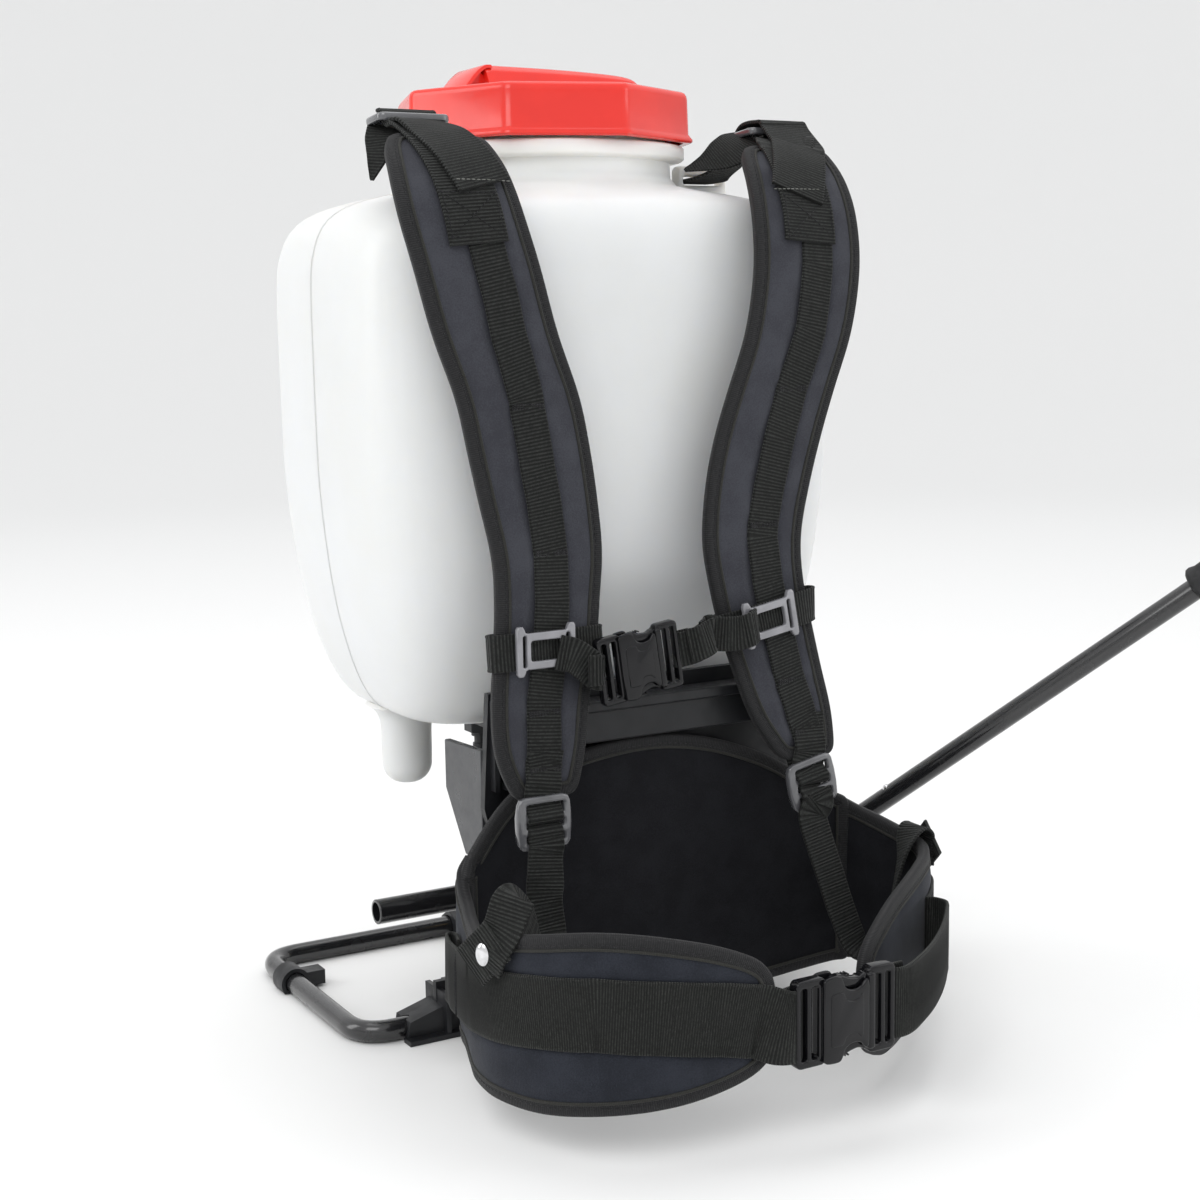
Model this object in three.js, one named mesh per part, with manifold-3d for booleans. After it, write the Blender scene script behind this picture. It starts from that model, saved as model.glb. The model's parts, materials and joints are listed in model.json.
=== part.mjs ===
// Backpack lever-pump sprayer with a padded harness. Millimetres, +Z up, the wearer stands on the -Y side.
// The origin is on the ground, under the filler neck, in the flat underside of the foot bridge.
import * as THREE from 'three';
import { mergeVertices } from 'three/addons/utils/BufferGeometryUtils.js';
import Module from 'manifold-3d';

const wasm = await Module();
wasm.setup();

// ---------------------------------------------------------------- driving dimensions
const GAP = 0.3;                      // clearance between touching pieces
const TANK_W = 308;                   // tank across, side to side
const TANK_D = 208;                   // tank front to back
const TANK_BACK = 10;                 // how far the belly sits behind (-) or before the neck
const TANK_FLOOR = 176;               // underside of the tank
const WALL = 3;                       // blow-moulded wall
const TANK_SIDES = 32;                // facets round the tank
const NECK_R = 74;                    // threaded filler neck
const NECK_TOP = 531;
const LID_R = 90.4;                   // octagonal lid, over its corners
const LID_FOOT = 509;                 // lower edge of the lid's skirt
const LID_TOP = 537;
const LID_TURN = -18;                 // how far the lid is screwed round, degrees
const TUBE_R = 6.25;                  // foot tube
const TUBE_BORE = 4.8;
const FOOT_X = 162;                   // centre lines of the foot loop
const FOOT_FRONT = -65;
const FOOT_REAR = 91;
const SHAFT_Y = -47;                  // pump shaft, along X
const SHAFT_Z = 71;
const SHAFT_R = 7.2;
const SHAFT_BORE = 5.6;
const SHAFT_END = 143;                // free open end on the -X side
const CRANK = 47;                     // crank throw
const PUMP_BORE = 18;                 // bore radius of the pump cylinder
const PISTON_Z = 124;                 // underside of the piston with the lever at rest
const PLATE_Y = -112;                 // front face of the carrier plate
const WAIST_Y = -303;                 // middle plane of the hip buckle

// ---------------------------------------------------------------- geometry helpers
function signedVolume(p, tri) {
  let six = 0;
  for (let i = 0; i < tri.length; i += 3) {
    const a = new THREE.Vector3().fromArray(p, tri[i] * 3);
    const b = new THREE.Vector3().fromArray(p, tri[i + 1] * 3);
    const c = new THREE.Vector3().fromArray(p, tri[i + 2] * 3);
    six += a.dot(b.cross(c));
  }
  return six;
}

// A closed three.js geometry as a manifold solid, with its faces turned outwards.
function solid(geometry) {
  const bare = new THREE.BufferGeometry();
  const flat = geometry.index ? geometry.toNonIndexed() : geometry;
  bare.setAttribute('position', flat.getAttribute('position').clone());
  const merged = mergeVertices(bare, 1e-3);
  const vertProperties = new Float32Array(merged.attributes.position.array);
  const triVerts = [];
  const index = merged.index.array;
  for (let i = 0; i < index.length; i += 3) {
    const [a, b, c] = [index[i], index[i + 1], index[i + 2]];
    if (a !== b && b !== c && c !== a) triVerts.push(a, b, c);
  }
  if (signedVolume(vertProperties, triVerts) < 0) triVerts.reverse();
  return new wasm.Manifold(new wasm.Mesh({ numProp: 3, vertProperties, triVerts: new Uint32Array(triVerts) }));
}

function geometryOf(manifold) {
  const m = manifold.getMesh();
  const g = new THREE.BufferGeometry();
  g.setAttribute('position', new THREE.BufferAttribute(new Float32Array(m.vertProperties), 3));
  g.setIndex(new THREE.BufferAttribute(new Uint32Array(m.triVerts), 1));
  return g;
}

const tidy = (geometry) => geometryOf(solid(geometry));
const join = (...list) => geometryOf(list.map(solid).reduce((a, b) => a.add(b)));
const cut = (body, ...tools) => geometryOf(tools.map(solid).reduce((a, b) => a.subtract(b), solid(body)));

// A box between two limits on each axis.
function bar(x0, x1, y0, y1, z0, z1) {
  const g = new THREE.BoxGeometry(Math.abs(x1 - x0), Math.abs(y1 - y0), Math.abs(z1 - z0));
  return g.translate((x0 + x1) / 2, (y0 + y1) / 2, (z0 + z1) / 2);
}

// A revolved profile about a vertical axis. Points are [radius, height].
function turned(points, segments = 24, startAngle = 0) {
  const g = new THREE.LatheGeometry(points.map(([r, z]) => new THREE.Vector2(r, z)), segments, startAngle);
  return g.rotateX(Math.PI / 2);
}

// A round bar between two points.
function rod(from, to, radius, sides = 16) {
  const a = new THREE.Vector3(...from);
  const b = new THREE.Vector3(...to);
  const g = new THREE.CylinderGeometry(radius, radius, a.distanceTo(b), sides);
  const turn = new THREE.Quaternion().setFromUnitVectors(new THREE.Vector3(0, 1, 0), b.clone().sub(a).normalize());
  return g.applyQuaternion(turn).translate((a.x + b.x) / 2, (a.y + b.y) / 2, (a.z + b.z) / 2);
}

// An open-ended pipe with a ring at each point of a path that stays in the plane with the given normal.
function pipe(points, normal, radius, bore, sides) {
  const vertices = [];
  points.forEach((p, i) => {
    const before = points[Math.max(i - 1, 0)];
    const after = points[Math.min(i + 1, points.length - 1)];
    const across = after.clone().sub(before).cross(normal).normalize();
    for (const r of [radius, bore]) {
      for (let k = 0; k < sides; k++) {
        const a = (2 * Math.PI * k) / sides;
        const v = p.clone().addScaledVector(across, r * Math.cos(a)).addScaledVector(normal, r * Math.sin(a));
        vertices.push(...v.toArray());
      }
    }
  });
  const index = [];
  const quad = (a, b, c, d) => index.push(a, b, c, a, c, d);
  const last = (points.length - 1) * 2 * sides;
  for (let k = 0; k < sides; k++) {
    const n = (k + 1) % sides;
    for (let at = 0; at < last; at += 2 * sides) {
      quad(at + k, at + n, at + 2 * sides + n, at + 2 * sides + k);
      quad(at + sides + n, at + sides + k, at + 3 * sides + k, at + 3 * sides + n);
    }
    quad(n, k, sides + k, sides + n);
    quad(last + k, last + n, last + sides + n, last + sides + k);
  }
  const g = new THREE.BufferGeometry();
  g.setAttribute('position', new THREE.Float32BufferAttribute(vertices, 3));
  g.setIndex(index);
  return g;
}

// Points round a bend of a tube: a corner rounded between two points.
const bend = (from, corner, to, steps) => new THREE.QuadraticBezierCurve3(from, corner, to).getPoints(steps);

// An outline in a plane, given thickness along the third axis.
// plane 'xz' is thick along Y, 'yz' along X and 'xy' along Z, from low to high.
function plate(plane, outline, low, high, holes = []) {
  const shape = outline instanceof THREE.Shape ? outline : new THREE.Shape(outline.map((p) => new THREE.Vector2(...p)));
  for (const h of holes) shape.holes.push(new THREE.Path(h.map((p) => new THREE.Vector2(...p))));
  const g = new THREE.ExtrudeGeometry(shape, { depth: high - low, bevelEnabled: false, curveSegments: 8 });
  g.translate(0, 0, low);
  const p = g.getAttribute('position');
  for (let i = 0; i < p.count; i++) {
    const [u, v, w] = [p.getX(i), p.getY(i), p.getZ(i)];
    if (plane === 'xz') p.setXYZ(i, u, w, v);
    if (plane === 'yz') p.setXYZ(i, w, u, v);
  }
  return g;
}

// A ribbon whose centre line lies in one plane and whose two edges are free along the third axis.
// Stations are {p: [a, b], low, high}. axes 'yzx' is a hanging strap, and 'xyz' a belt that stands on edge.
function ribbon(axes, stations, thickness) {
  const near = [];
  const far = [];
  stations.forEach((s, i) => {
    const before = stations[Math.max(i - 1, 0)].p;
    const after = stations[Math.min(i + 1, stations.length - 1)].p;
    const along = new THREE.Vector2(after[0] - before[0], after[1] - before[1]).normalize();
    const side = new THREE.Vector2(-along.y, along.x).multiplyScalar(thickness / 2);
    near.push(new THREE.Vector2(...s.p).add(side));
    far.push(new THREE.Vector2(...s.p).sub(side));
  });
  const g = new THREE.ExtrudeGeometry(new THREE.Shape([...near, ...far.slice().reverse()]), {
    depth: 1,
    bevelEnabled: false,
  });
  const p = g.getAttribute('position');
  const at = (u, v) => {
    let best = 0;
    let least = Infinity;
    stations.forEach((s, i) => {
      const d = Math.min(near[i].distanceTo(new THREE.Vector2(u, v)), far[i].distanceTo(new THREE.Vector2(u, v)));
      if (d < least) [best, least] = [i, d];
    });
    return stations[best];
  };
  for (let i = 0; i < p.count; i++) {
    const [u, v, w] = [p.getX(i), p.getY(i), p.getZ(i)];
    const s = at(u, v);
    const edge = s.low + w * (s.high - s.low);
    if (axes === 'yzx') p.setXYZ(i, edge, u, v);
    else p.setXYZ(i, u, v, edge);
  }
  return tidy(g);
}

// ---------------------------------------------------------------- materials
const look = (color, roughness, metalness = 0) => new THREE.MeshStandardMaterial({ color, roughness, metalness });
const MAT = {
  tank: look(0xf3f2ec, 0.45),
  red: look(0xe23a2e, 0.35),
  rubber: look(0x1c1c1d, 0.8),
  steel: look(0x141416, 0.3, 0.4),
  plastic: look(0x1d1e21, 0.45),
  grey: look(0x8f9296, 0.5),
  brass: look(0xb08d4a, 0.35, 0.9),
  pad: look(0x2b2d34, 0.9),
  web: look(0x1e1f20, 0.85),
  rivet: look(0xd8d8d6, 0.25, 1),
};
const sprayer = new THREE.Group();
function add(name, geometry, material) {
  const mesh = new THREE.Mesh(geometry, material);
  mesh.name = name;
  sprayer.add(mesh);
}

// ---------------------------------------------------------------- tank
// Half widths of the belly against height, from the middle of the floor to the foot of the neck.
const BELLY = [
  [0, TANK_FLOOR], [96, TANK_FLOOR], [112, 178.5], [122, 184], [130, 195], [137, 212], [144, 238],
  [149, 268], [153, 310], [TANK_W / 2, 350], [TANK_W / 2, 425], [151, 447], [144, 461], [131, 470],
  [112, 476], [92, 480], [80, 483.5], [77, 488],
];

// Turns a revolved belly into a rounded rectangle: shallower than wide, and round again at the neck.
// inset is how far the profile lies inside the outer wall, so that both walls bend alike.
function squareUp(g, inset) {
  const p = g.getAttribute('position');
  const narrower = (TANK_W - TANK_D) / 2;
  for (let i = 0; i < p.count; i++) {
    const [x, y, z] = [p.getX(i), p.getY(i), p.getZ(i)];
    const half = Math.hypot(x, y);
    if (half < 1e-6) continue;
    const c = x / half;
    const s = y / half;
    const shoulder = THREE.MathUtils.clamp((half + inset - 80) / (TANK_W / 2 - 80), 0, 1);
    const square = z > 440 ? shoulder : Math.min(1, (half + inset) / 96);
    const n = 2 + 2.6 * square;
    const stretch = (Math.abs(c) ** n + Math.abs(s) ** n) ** (-1 / n);
    const depth = half - narrower * square;
    p.setXYZ(i, half * c * stretch, depth * s * stretch - TANK_BACK * square, z);
  }
  return g;
}

function tankShell() {
  const collar = [[77, 497], [84, 499], [84, 506], [NECK_R, 507.5], [NECK_R, NECK_TOP], [0, NECK_TOP]];
  const outer = squareUp(turned([...BELLY, ...collar], TANK_SIDES), 0);
  const inside = BELLY.map(([r, z]) => {
    const floor = WALL * Math.max(0, 1 - (z - TANK_FLOOR) / 30);
    const roof = WALL * Math.max(0, 1 - (480 - z) / 40);
    return [Math.max(r - WALL, 0), z + floor - Math.min(roof, WALL)];
  });
  const mouth = [[NECK_R - 4.5, 497], [NECK_R - 4.5, NECK_TOP + 2], [0, NECK_TOP + 2]];
  const inner = squareUp(turned([...inside, ...mouth], TANK_SIDES), WALL);
  const sump = (side, r) => turned([[0, 132 + 15 - r], [r * 0.6, 134.5 + 15 - r], [r, 145], [r, 186], [0, 186]], 16)
    .translate(side * 100, 0, 0);
  const lug = (side) => cut(
    bar(side * 76, side * 110, -34, -24, 474, 496),
    bar(side * 79, side * 107, -40, -20, 487, 492.5),
  );
  const shell = solid(outer).add(solid(sump(-1, 15))).add(solid(sump(1, 15)));
  const hollow = solid(inner).add(solid(sump(-1, 12))).add(solid(sump(1, 12)));
  const ports = solid(rod([0, 0, 170], [0, 0, 184], 12.5, 20)).add(solid(rod([0, 26, 170], [0, 26, 184], 5, 12)));
  return geometryOf(shell.subtract(hollow).subtract(ports).add(solid(lug(-1))).add(solid(lug(1))));
}
add('tank', tankShell(), MAT.tank);

// ---------------------------------------------------------------- lid and what it covers
function lidShell() {
  const facet = Math.PI / 8;
  const cap = turned([
    [LID_R - 4.2, LID_FOOT], [LID_R + 1, LID_FOOT], [LID_R + 1, LID_FOOT + 2.4], [LID_R - 0.6, LID_FOOT + 4],
    [LID_R - 1.6, LID_TOP - 3], [LID_R - 4.4, LID_TOP], [0, LID_TOP], [0, LID_TOP - 4],
    [LID_R - 6, LID_TOP - 4], [LID_R - 4.2, LID_FOOT],
  ], 8, facet);
  const rib = plate('yz', [[-26, -1], [24, -1], [17, 12.5], [-19, 12.5]], -62, 58);
  const nose = bar(-72, -60, -18, 16, -1, 8);
  const grip = cut(join(rib, nose), bar(-69, -63, -12, 10, 1.5, 20));
  grip.rotateZ(THREE.MathUtils.degToRad(-LID_TURN)).translate(0, 0, LID_TOP);
  const vent = rod([0, 30, LID_TOP - 10], [0, 30, LID_TOP + 10], 1.6, 10);
  return cut(join(cap, grip), vent).rotateZ(THREE.MathUtils.degToRad(LID_TURN));
}
add('lid', lidShell(), MAT.red);
add('lid_gasket', turned([
  [NECK_R - 3.5, NECK_TOP + 0.2], [NECK_R + 1.5, NECK_TOP + 0.2], [NECK_R + 1.5, LID_TOP - 4 - GAP],
  [NECK_R - 3.5, LID_TOP - 4 - GAP], [NECK_R - 3.5, NECK_TOP + 0.2],
], 32), MAT.rubber);
add('lid_vent', turned([[0, 0], [1.2, 0], [1.2, 4.4], [6, 5], [5, 6.6], [0, 7.2]], 12)
  .rotateX(Math.PI)
  .rotateZ(THREE.MathUtils.degToRad(LID_TURN))
  .translate(0, 0, LID_TOP - 0.2)
  .translate(...new THREE.Vector3(0, 30, 0)
    .applyAxisAngle(new THREE.Vector3(0, 0, 1), THREE.MathUtils.degToRad(LID_TURN)).toArray()), MAT.rubber);

function fillerStrainer() {
  const cup = turned([
    [0, 440], [60, 440], [64, 526], [NECK_R - 5, 527.5], [NECK_R - 5, 529.5], [62, 529.5], [58, 442.4], [0, 442.4],
  ], 24);
  const windows = [];
  for (let i = 0; i < 8; i++) {
    const slot = bar(50, 72, -11, 11, 452, 512).rotateZ((i + 0.5) * Math.PI / 4);
    windows.push(slot);
  }
  return cut(cup, ...windows);
}
add('filler_strainer', fillerStrainer(), MAT.plastic);

// ---------------------------------------------------------------- carrier and foot
function carrierPlate() {
  const outline = [[-62, 20], [62, 20], [84, 60], [104, 140], [100, 204], [-100, 204], [-104, 140], [-84, 60]];
  const back = PLATE_Y + 5;
  const panel = plate('xz', outline, PLATE_Y, back);
  const ribs = [-98, -91, 91, 98].map((x) => bar(x - 1.5, x + 1.5, PLATE_Y - 5, PLATE_Y + 1, 150, 200));
  const stiffeners = [-40, 0, 40].map((x) => bar(x - 2, x + 2, back - 1, back + 5, 40, 160));
  const window = plate('xz', [[-34, 92], [34, 92], [28, 150], [-28, 150]], PLATE_Y - 1, back - 2.5);
  return cut(join(panel, ...ribs, ...stiffeners), window);
}
add('carrier_plate', carrierPlate(), MAT.plastic);

function crossbar() {
  const beam = bar(-78, 78, -130, PLATE_Y - GAP - 5, 173, 197);
  const lip = bar(-72, 72, -134, -129, 191, 197);
  return join(beam, lip);
}
add('crossbar', crossbar(), MAT.plastic);

// A cheek of the carrier: it carries the shaft bush and reaches down to the front foot rail.
function sidePlate(side) {
  const front = PLATE_Y + 5 + GAP;
  const cheek = [
    [front, 198], [-97, 198], [-93, 172], [-60, 168], [-60, 142], [-34, 104], [-30, 60], [-44, 24], [-52, 14.5],
    [-78, 14.5], [-92, 40], [front, 120],
  ];
  const x0 = side * 66;
  const x1 = side * 71;
  const sheet = plate('yz', cheek, Math.min(x0, x1), Math.max(x0, x1));
  const boss = rod([side * 64, SHAFT_Y, SHAFT_Z], [side * 76, SHAFT_Y, SHAFT_Z], 15, 20);
  const bore = rod([side * 50, SHAFT_Y, SHAFT_Z], [side * 90, SHAFT_Y, SHAFT_Z], 10.5, 20);
  const wing = bar(side * 70, side * 100, front, front + 4, 120, 170);
  const outer = plate('yz', [
    [front, 172], [-60, 170], [-60, 142], [-84, 108], [front, 108],
  ], Math.min(side * 99, side * 103), Math.max(side * 99, side * 103));
  return cut(join(sheet, boss, wing, outer), bore);
}
add('side_plate_left', sidePlate(-1), MAT.grey);
add('side_plate_right', sidePlate(1), MAT.grey);

function bush(side) {
  const z = [side * 63, side * 77].sort((a, b) => a - b);
  const body = join(rod([z[0], 0, 0], [z[1], 0, 0], 10.2, 20), rod([side * 77, 0, 0], [side * 80, 0, 0], 14, 20));
  return cut(body, rod([-100, 0, 0], [100, 0, 0], SHAFT_R + 0.15, 20)).translate(0, SHAFT_Y, SHAFT_Z);
}
add('bush_left', bush(-1), MAT.plastic);
add('bush_right', bush(1), MAT.plastic);

function tankCradle() {
  const tray = bar(-64, 64, PLATE_Y + 5 + GAP, 52, 168, TANK_FLOOR - GAP - 0.5);
  const lip = bar(-64, 64, PLATE_Y + 5 + GAP, -98, 160, 186);
  const mouth = rod([0, 0, 150], [0, 0, 190], 27.5, 24);
  const spoutWay = bar(-29, -11, 0, 60, 150, 190);
  const ribs = [-44, 44].map((x) => bar(x - 2, x + 2, PLATE_Y + 6, 40, 158, 169));
  return cut(join(tray, lip, ...ribs), mouth, spoutWay);
}
add('tank_cradle', tankCradle(), MAT.plastic);

// The loop the sprayer stands on: one bent tube whose two ends meet inside the foot bridge.
function footTube() {
  const reach = 22;
  const at = (x, y) => new THREE.Vector3(x, y, TUBE_R);
  const turn = (x, y, first, second) => bend(
    at(x - first[0] * reach, y - first[1] * reach), at(x, y), at(x + second[0] * reach, y + second[1] * reach), 6,
  );
  return tidy(pipe([
    at(-16, FOOT_FRONT),
    ...turn(-FOOT_X, FOOT_FRONT, [-1, 0], [0, 1]),
    ...turn(-FOOT_X, FOOT_REAR, [0, 1], [1, 0]),
    ...turn(FOOT_X, FOOT_REAR, [1, 0], [0, -1]),
    ...turn(FOOT_X, FOOT_FRONT, [0, -1], [-1, 0]),
    at(16, FOOT_FRONT),
  ], new THREE.Vector3(0, 0, 1), TUBE_R, TUBE_BORE, 12));
}
add('foot_tube', footTube(), MAT.steel);

const saddle = (x0, x1, y) => rod([x0, y, TUBE_R], [x1, y, TUBE_R], TUBE_R + 0.45, 20);
const saddleSlot = (x0, x1, y) => bar(x0, x1, y - TUBE_R - 0.45, y + TUBE_R + 0.45, -5, TUBE_R);

function footBridge() {
  const side = new THREE.Shape();
  side.moveTo(FOOT_FRONT - 11, 1);
  side.lineTo(FOOT_FRONT - 10, 0);
  side.lineTo(FOOT_REAR + 10, 0);
  side.lineTo(FOOT_REAR + 11, 10);
  side.lineTo(FOOT_REAR, 17);
  side.lineTo(FOOT_REAR - 18, 11);
  side.lineTo(FOOT_FRONT + 18, 11);
  side.lineTo(FOOT_FRONT, 17);
  side.lineTo(FOOT_FRONT - 11, 10);
  const body = plate('yz', side, -34, 34);
  const tools = [];
  for (const y of [FOOT_FRONT, FOOT_REAR]) tools.push(saddle(-60, 60, y), saddleSlot(-60, 60, y));
  const plug = rod([-12, FOOT_FRONT, TUBE_R], [12, FOOT_FRONT, TUBE_R], TUBE_R + 0.6, 20);
  const sole = bar(-12, 12, FOOT_FRONT - 6, FOOT_FRONT + 6, 0, 6);
  return join(cut(body, ...tools), cut(plug, bar(-20, 20, -100, 100, -5, 0)), sole);
}
add('foot_bridge', footBridge(), MAT.plastic);

// Ribbed moulded bracket that clamps each cheek to the front rail.
function footBracket(side) {
  const x = (v) => side * v;
  const sole = bar(x(71.5), x(139), FOOT_FRONT - 16, FOOT_FRONT + 15, 0, 3);
  const wedge = plate('xz', [[x(72), 2], [x(138), 2], [x(136), 12], [x(108), 20], [x(72), 20]],
    FOOT_FRONT - 10, FOOT_FRONT + 10);
  const ribs = [80, 92, 104, 114].map((v) => bar(x(v - 1.5), x(v + 1.5), FOOT_FRONT - 15, FOOT_FRONT + 14, 2, 26));
  const spine = bar(x(72), x(116), FOOT_FRONT - 2, FOOT_FRONT + 2, 14, 30);
  const body = join(sole, wedge, spine, ...ribs);
  return cut(body, saddle(x(60), x(160), FOOT_FRONT), saddleSlot(x(60), x(160), FOOT_FRONT));
}
add('foot_bracket_left', footBracket(-1), MAT.plastic);
add('foot_bracket_right', footBracket(1), MAT.plastic);

// Snap-on hose and lance clip near each rear corner of the loop.
function footClip(side) {
  const collar = rod([side * FOOT_X, 38, TUBE_R], [side * FOOT_X, 54, TUBE_R], TUBE_R + 3, 20);
  const toe = bar(side * (FOOT_X - 20), side * (FOOT_X - 4), 40, 52, 2, 11);
  const tube = rod([side * FOOT_X, 20, TUBE_R], [side * FOOT_X, 80, TUBE_R], TUBE_R + 0.45, 20);
  const floor = bar(-300, 300, 0, 100, -10, 0.6);
  return cut(join(collar, toe), tube, floor);
}
add('foot_clip_left', footClip(-1), MAT.plastic);
add('foot_clip_right', footClip(1), MAT.plastic);

// ---------------------------------------------------------------- shaft, lever and crank
const LEVER_FROM = new THREE.Vector3(SHAFT_END + 43, SHAFT_Y, SHAFT_Z - 1);
const LEVER_WAY = new THREE.Vector3(0.44, -0.66, 0.61).normalize();
const alongLever = (mm) => LEVER_FROM.clone().addScaledVector(LEVER_WAY, mm);
const LEVER_LENGTH = 400;
const LEVER_R = 6.6;

const onShaft = (x) => new THREE.Vector3(x, SHAFT_Y, SHAFT_Z);
add('shaft_tube', tidy(pipe(
  [onShaft(-SHAFT_END), onShaft(SHAFT_END + 3)], new THREE.Vector3(0, 0, 1), SHAFT_R, SHAFT_BORE, 20,
)), MAT.steel);

// The lever is one bent tube. Its lower end is sleeved over the shaft's right end.
function leverTube() {
  const elbow = bend(onShaft(166), LEVER_FROM, alongLever(22), 6);
  const normal = new THREE.Vector3(1, 0, 0).cross(LEVER_WAY).normalize();
  const points = [onShaft(SHAFT_END + 3.5), ...elbow, alongLever(LEVER_LENGTH)];
  const tube = pipe(points, normal, LEVER_R, LEVER_R - 1.4, 14);
  const sleeve = cut(
    rod([124, SHAFT_Y, SHAFT_Z], [152, SHAFT_Y, SHAFT_Z], 9.4, 20),
    rod([120, SHAFT_Y, SHAFT_Z], [146.3, SHAFT_Y, SHAFT_Z], SHAFT_R + GAP, 20),
    rod([120, SHAFT_Y, SHAFT_Z], [160, SHAFT_Y, SHAFT_Z], LEVER_R - 1.5, 20),
  );
  const buttonHole = rod([...alongLever(40)], [...alongLever(40).add(new THREE.Vector3(0, -6, 20))], 3.2, 12);
  return cut(join(tube, sleeve), buttonHole);
}
add('lever_tube', leverTube(), MAT.steel);

function leverGrip() {
  const from = alongLever(LEVER_LENGTH - 118);
  const to = alongLever(LEVER_LENGTH + 6);
  const profile = [[LEVER_R + GAP, 0], [10.5, 0], [12.5, 3], [11.5, 10], [12.8, 60], [11.8, 112], [12.8, 120], [9, 126],
    [0, 127], [0, 125], [LEVER_R + GAP, 119], [LEVER_R + GAP, 0]];
  const g = turned(profile, 16);
  const turn = new THREE.Quaternion().setFromUnitVectors(new THREE.Vector3(0, 0, 1), LEVER_WAY);
  return g.applyQuaternion(turn).translate(from.x, from.y, from.z);
}
add('lever_grip', leverGrip(), MAT.rubber);

// Snap button: pressed in, it lets the lever be pulled off and moved to the other side.
function leverButton() {
  const out = new THREE.Vector3(0, -6, 20).normalize();
  const base = alongLever(40);
  const g = turned([[0, -1.4], [2.8, -1.4], [2.8, 8.6], [1.8, 10], [0, 10.4]], 14);
  g.applyQuaternion(new THREE.Quaternion().setFromUnitVectors(new THREE.Vector3(0, 0, 1), out));
  return g.translate(base.x, base.y, base.z);
}
add('lever_button', leverButton(), MAT.rivet);

// The crank's round-ended web swings the pin that works in the pump rod's slotted yoke.
function crankArm() {
  const s = new THREE.Shape();
  s.absarc(SHAFT_Y, SHAFT_Z, 14, Math.PI / 2, 3 * Math.PI / 2, false);
  s.absarc(SHAFT_Y + CRANK, SHAFT_Z, 9, -Math.PI / 2, Math.PI / 2, false);
  const web = plate('yz', s, 9, 17);
  const hub = rod([6, SHAFT_Y, SHAFT_Z], [30, SHAFT_Y, SHAFT_Z], 12.5, 20);
  return cut(
    join(web, hub),
    rod([0, SHAFT_Y, SHAFT_Z], [40, SHAFT_Y, SHAFT_Z], SHAFT_R + GAP, 20),
    rod([0, SHAFT_Y + CRANK, SHAFT_Z], [40, SHAFT_Y + CRANK, SHAFT_Z], 4.3, 16),
  );
}
add('crank_arm', crankArm(), MAT.steel);
add('crank_pin', join(
  rod([-10, 0, SHAFT_Z], [18, 0, SHAFT_Z], 4, 16),
  rod([17.4, 0, SHAFT_Z], [20.5, 0, SHAFT_Z], 7, 16),
), MAT.brass);

// ---------------------------------------------------------------- pump
function pumpRod() {
  const yoke = cut(bar(-6, 6, -18, 11, 60, 83), bar(-10, 10, -11.5, 4.8, SHAFT_Z - 4.9, SHAFT_Z + 4.9));
  return join(yoke, rod([0, 0, 82], [0, 0, PISTON_Z - GAP], 5, 16));
}
add('pump_rod', pumpRod(), MAT.brass);
add('piston', turned([
  [0, 0], [17, 0], [17, 3], [14.6, 3], [14.6, 9], [17, 9], [17, 12], [0, 12],
], 24).translate(0, 0, PISTON_Z), MAT.plastic);
add('piston_seal', turned([
  [14.9, 3.3], [17.5, 3.3], [17.7, 8.7], [14.9, 8.7], [14.9, 3.3],
], 24).translate(0, 0, PISTON_Z), MAT.rubber);
add('pump_cylinder', turned([
  [PUMP_BORE, 106], [24, 106], [24, 110], [21, 112], [21, 150], [24.5, 152], [24.5, 158.7], [PUMP_BORE, 158.7],
  [PUMP_BORE, 106],
], 28), MAT.grey);

// The head closes the cylinder, takes water from the tank and sends it to the chamber and the hose.
function pumpHead() {
  const block = turned([[0, 159], [26.5, 159], [26.5, 166], [25, 174.8], [0, 174.8]], 28);
  const chamberPort = rod([0, 0, 150], [0, 0, 180], 3, 16);
  const inletPort = rod([0, 17.5, 150], [0, 17.5, 180], 2.6, 12);
  const inletSeat = rod([0, 17.5, 168], [0, 17.5, 180], 5.6, 16);
  const spout = rod([-20, 12, 166], [-20, 44, 166], 6.6, 16);
  const spoutBore = rod([-20, 6, 166], [-20, 60, 166], 4.2, 16);
  const cross = rod([-20, 8, 166], [0, 0, 166], 3.2, 12);
  return cut(join(block, spout), chamberPort, inletPort, inletSeat, spoutBore, cross);
}
add('pump_head', pumpHead(), MAT.plastic);
add('inlet_valve', turned([[0, 168.3], [4.8, 168.3], [4.8, 169.8], [1.5, 170.2], [1.5, 171.5], [0, 171.5]], 14)
  .translate(0, 17.5, 0), MAT.rubber);
add('pressure_chamber', turned([
  [8.2, 175.3], [11.8, 175.3], [11.8, 183], [34, 190], [37, 202], [37, 350], [30, 372], [12, 382], [0, 383.5],
  [0, 380.5], [11, 379], [28, 369], [34, 349], [34, 203], [31.5, 193], [8.2, 186], [8.2, 175.3],
], 24), MAT.plastic);
add('outlet_valve', turned([[0, 175.1], [7.4, 175.1], [7.4, 176.7], [2, 177.2], [0, 177.2]], 16), MAT.rubber);
add('outlet_elbow', cut(
  join(
    rod([-20, 44.3, 166], [-20, 62, 166], 6.4, 16),
    rod([-20, 62, 168], [-20, 62, 140], 6.4, 16),
    rod([-20, 62, 140], [-20, 62, 118], 4.6, 16),
    rod([-20, 62, 135], [-20, 62, 132], 5.6, 16),
    rod([-20, 62, 128], [-20, 62, 125], 5.6, 16),
  ),
  rod([-20, 40, 166], [-20, 62, 166], 3, 12),
  rod([-20, 62, 166], [-20, 62, 110], 2.6, 12),
), MAT.plastic);
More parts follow.
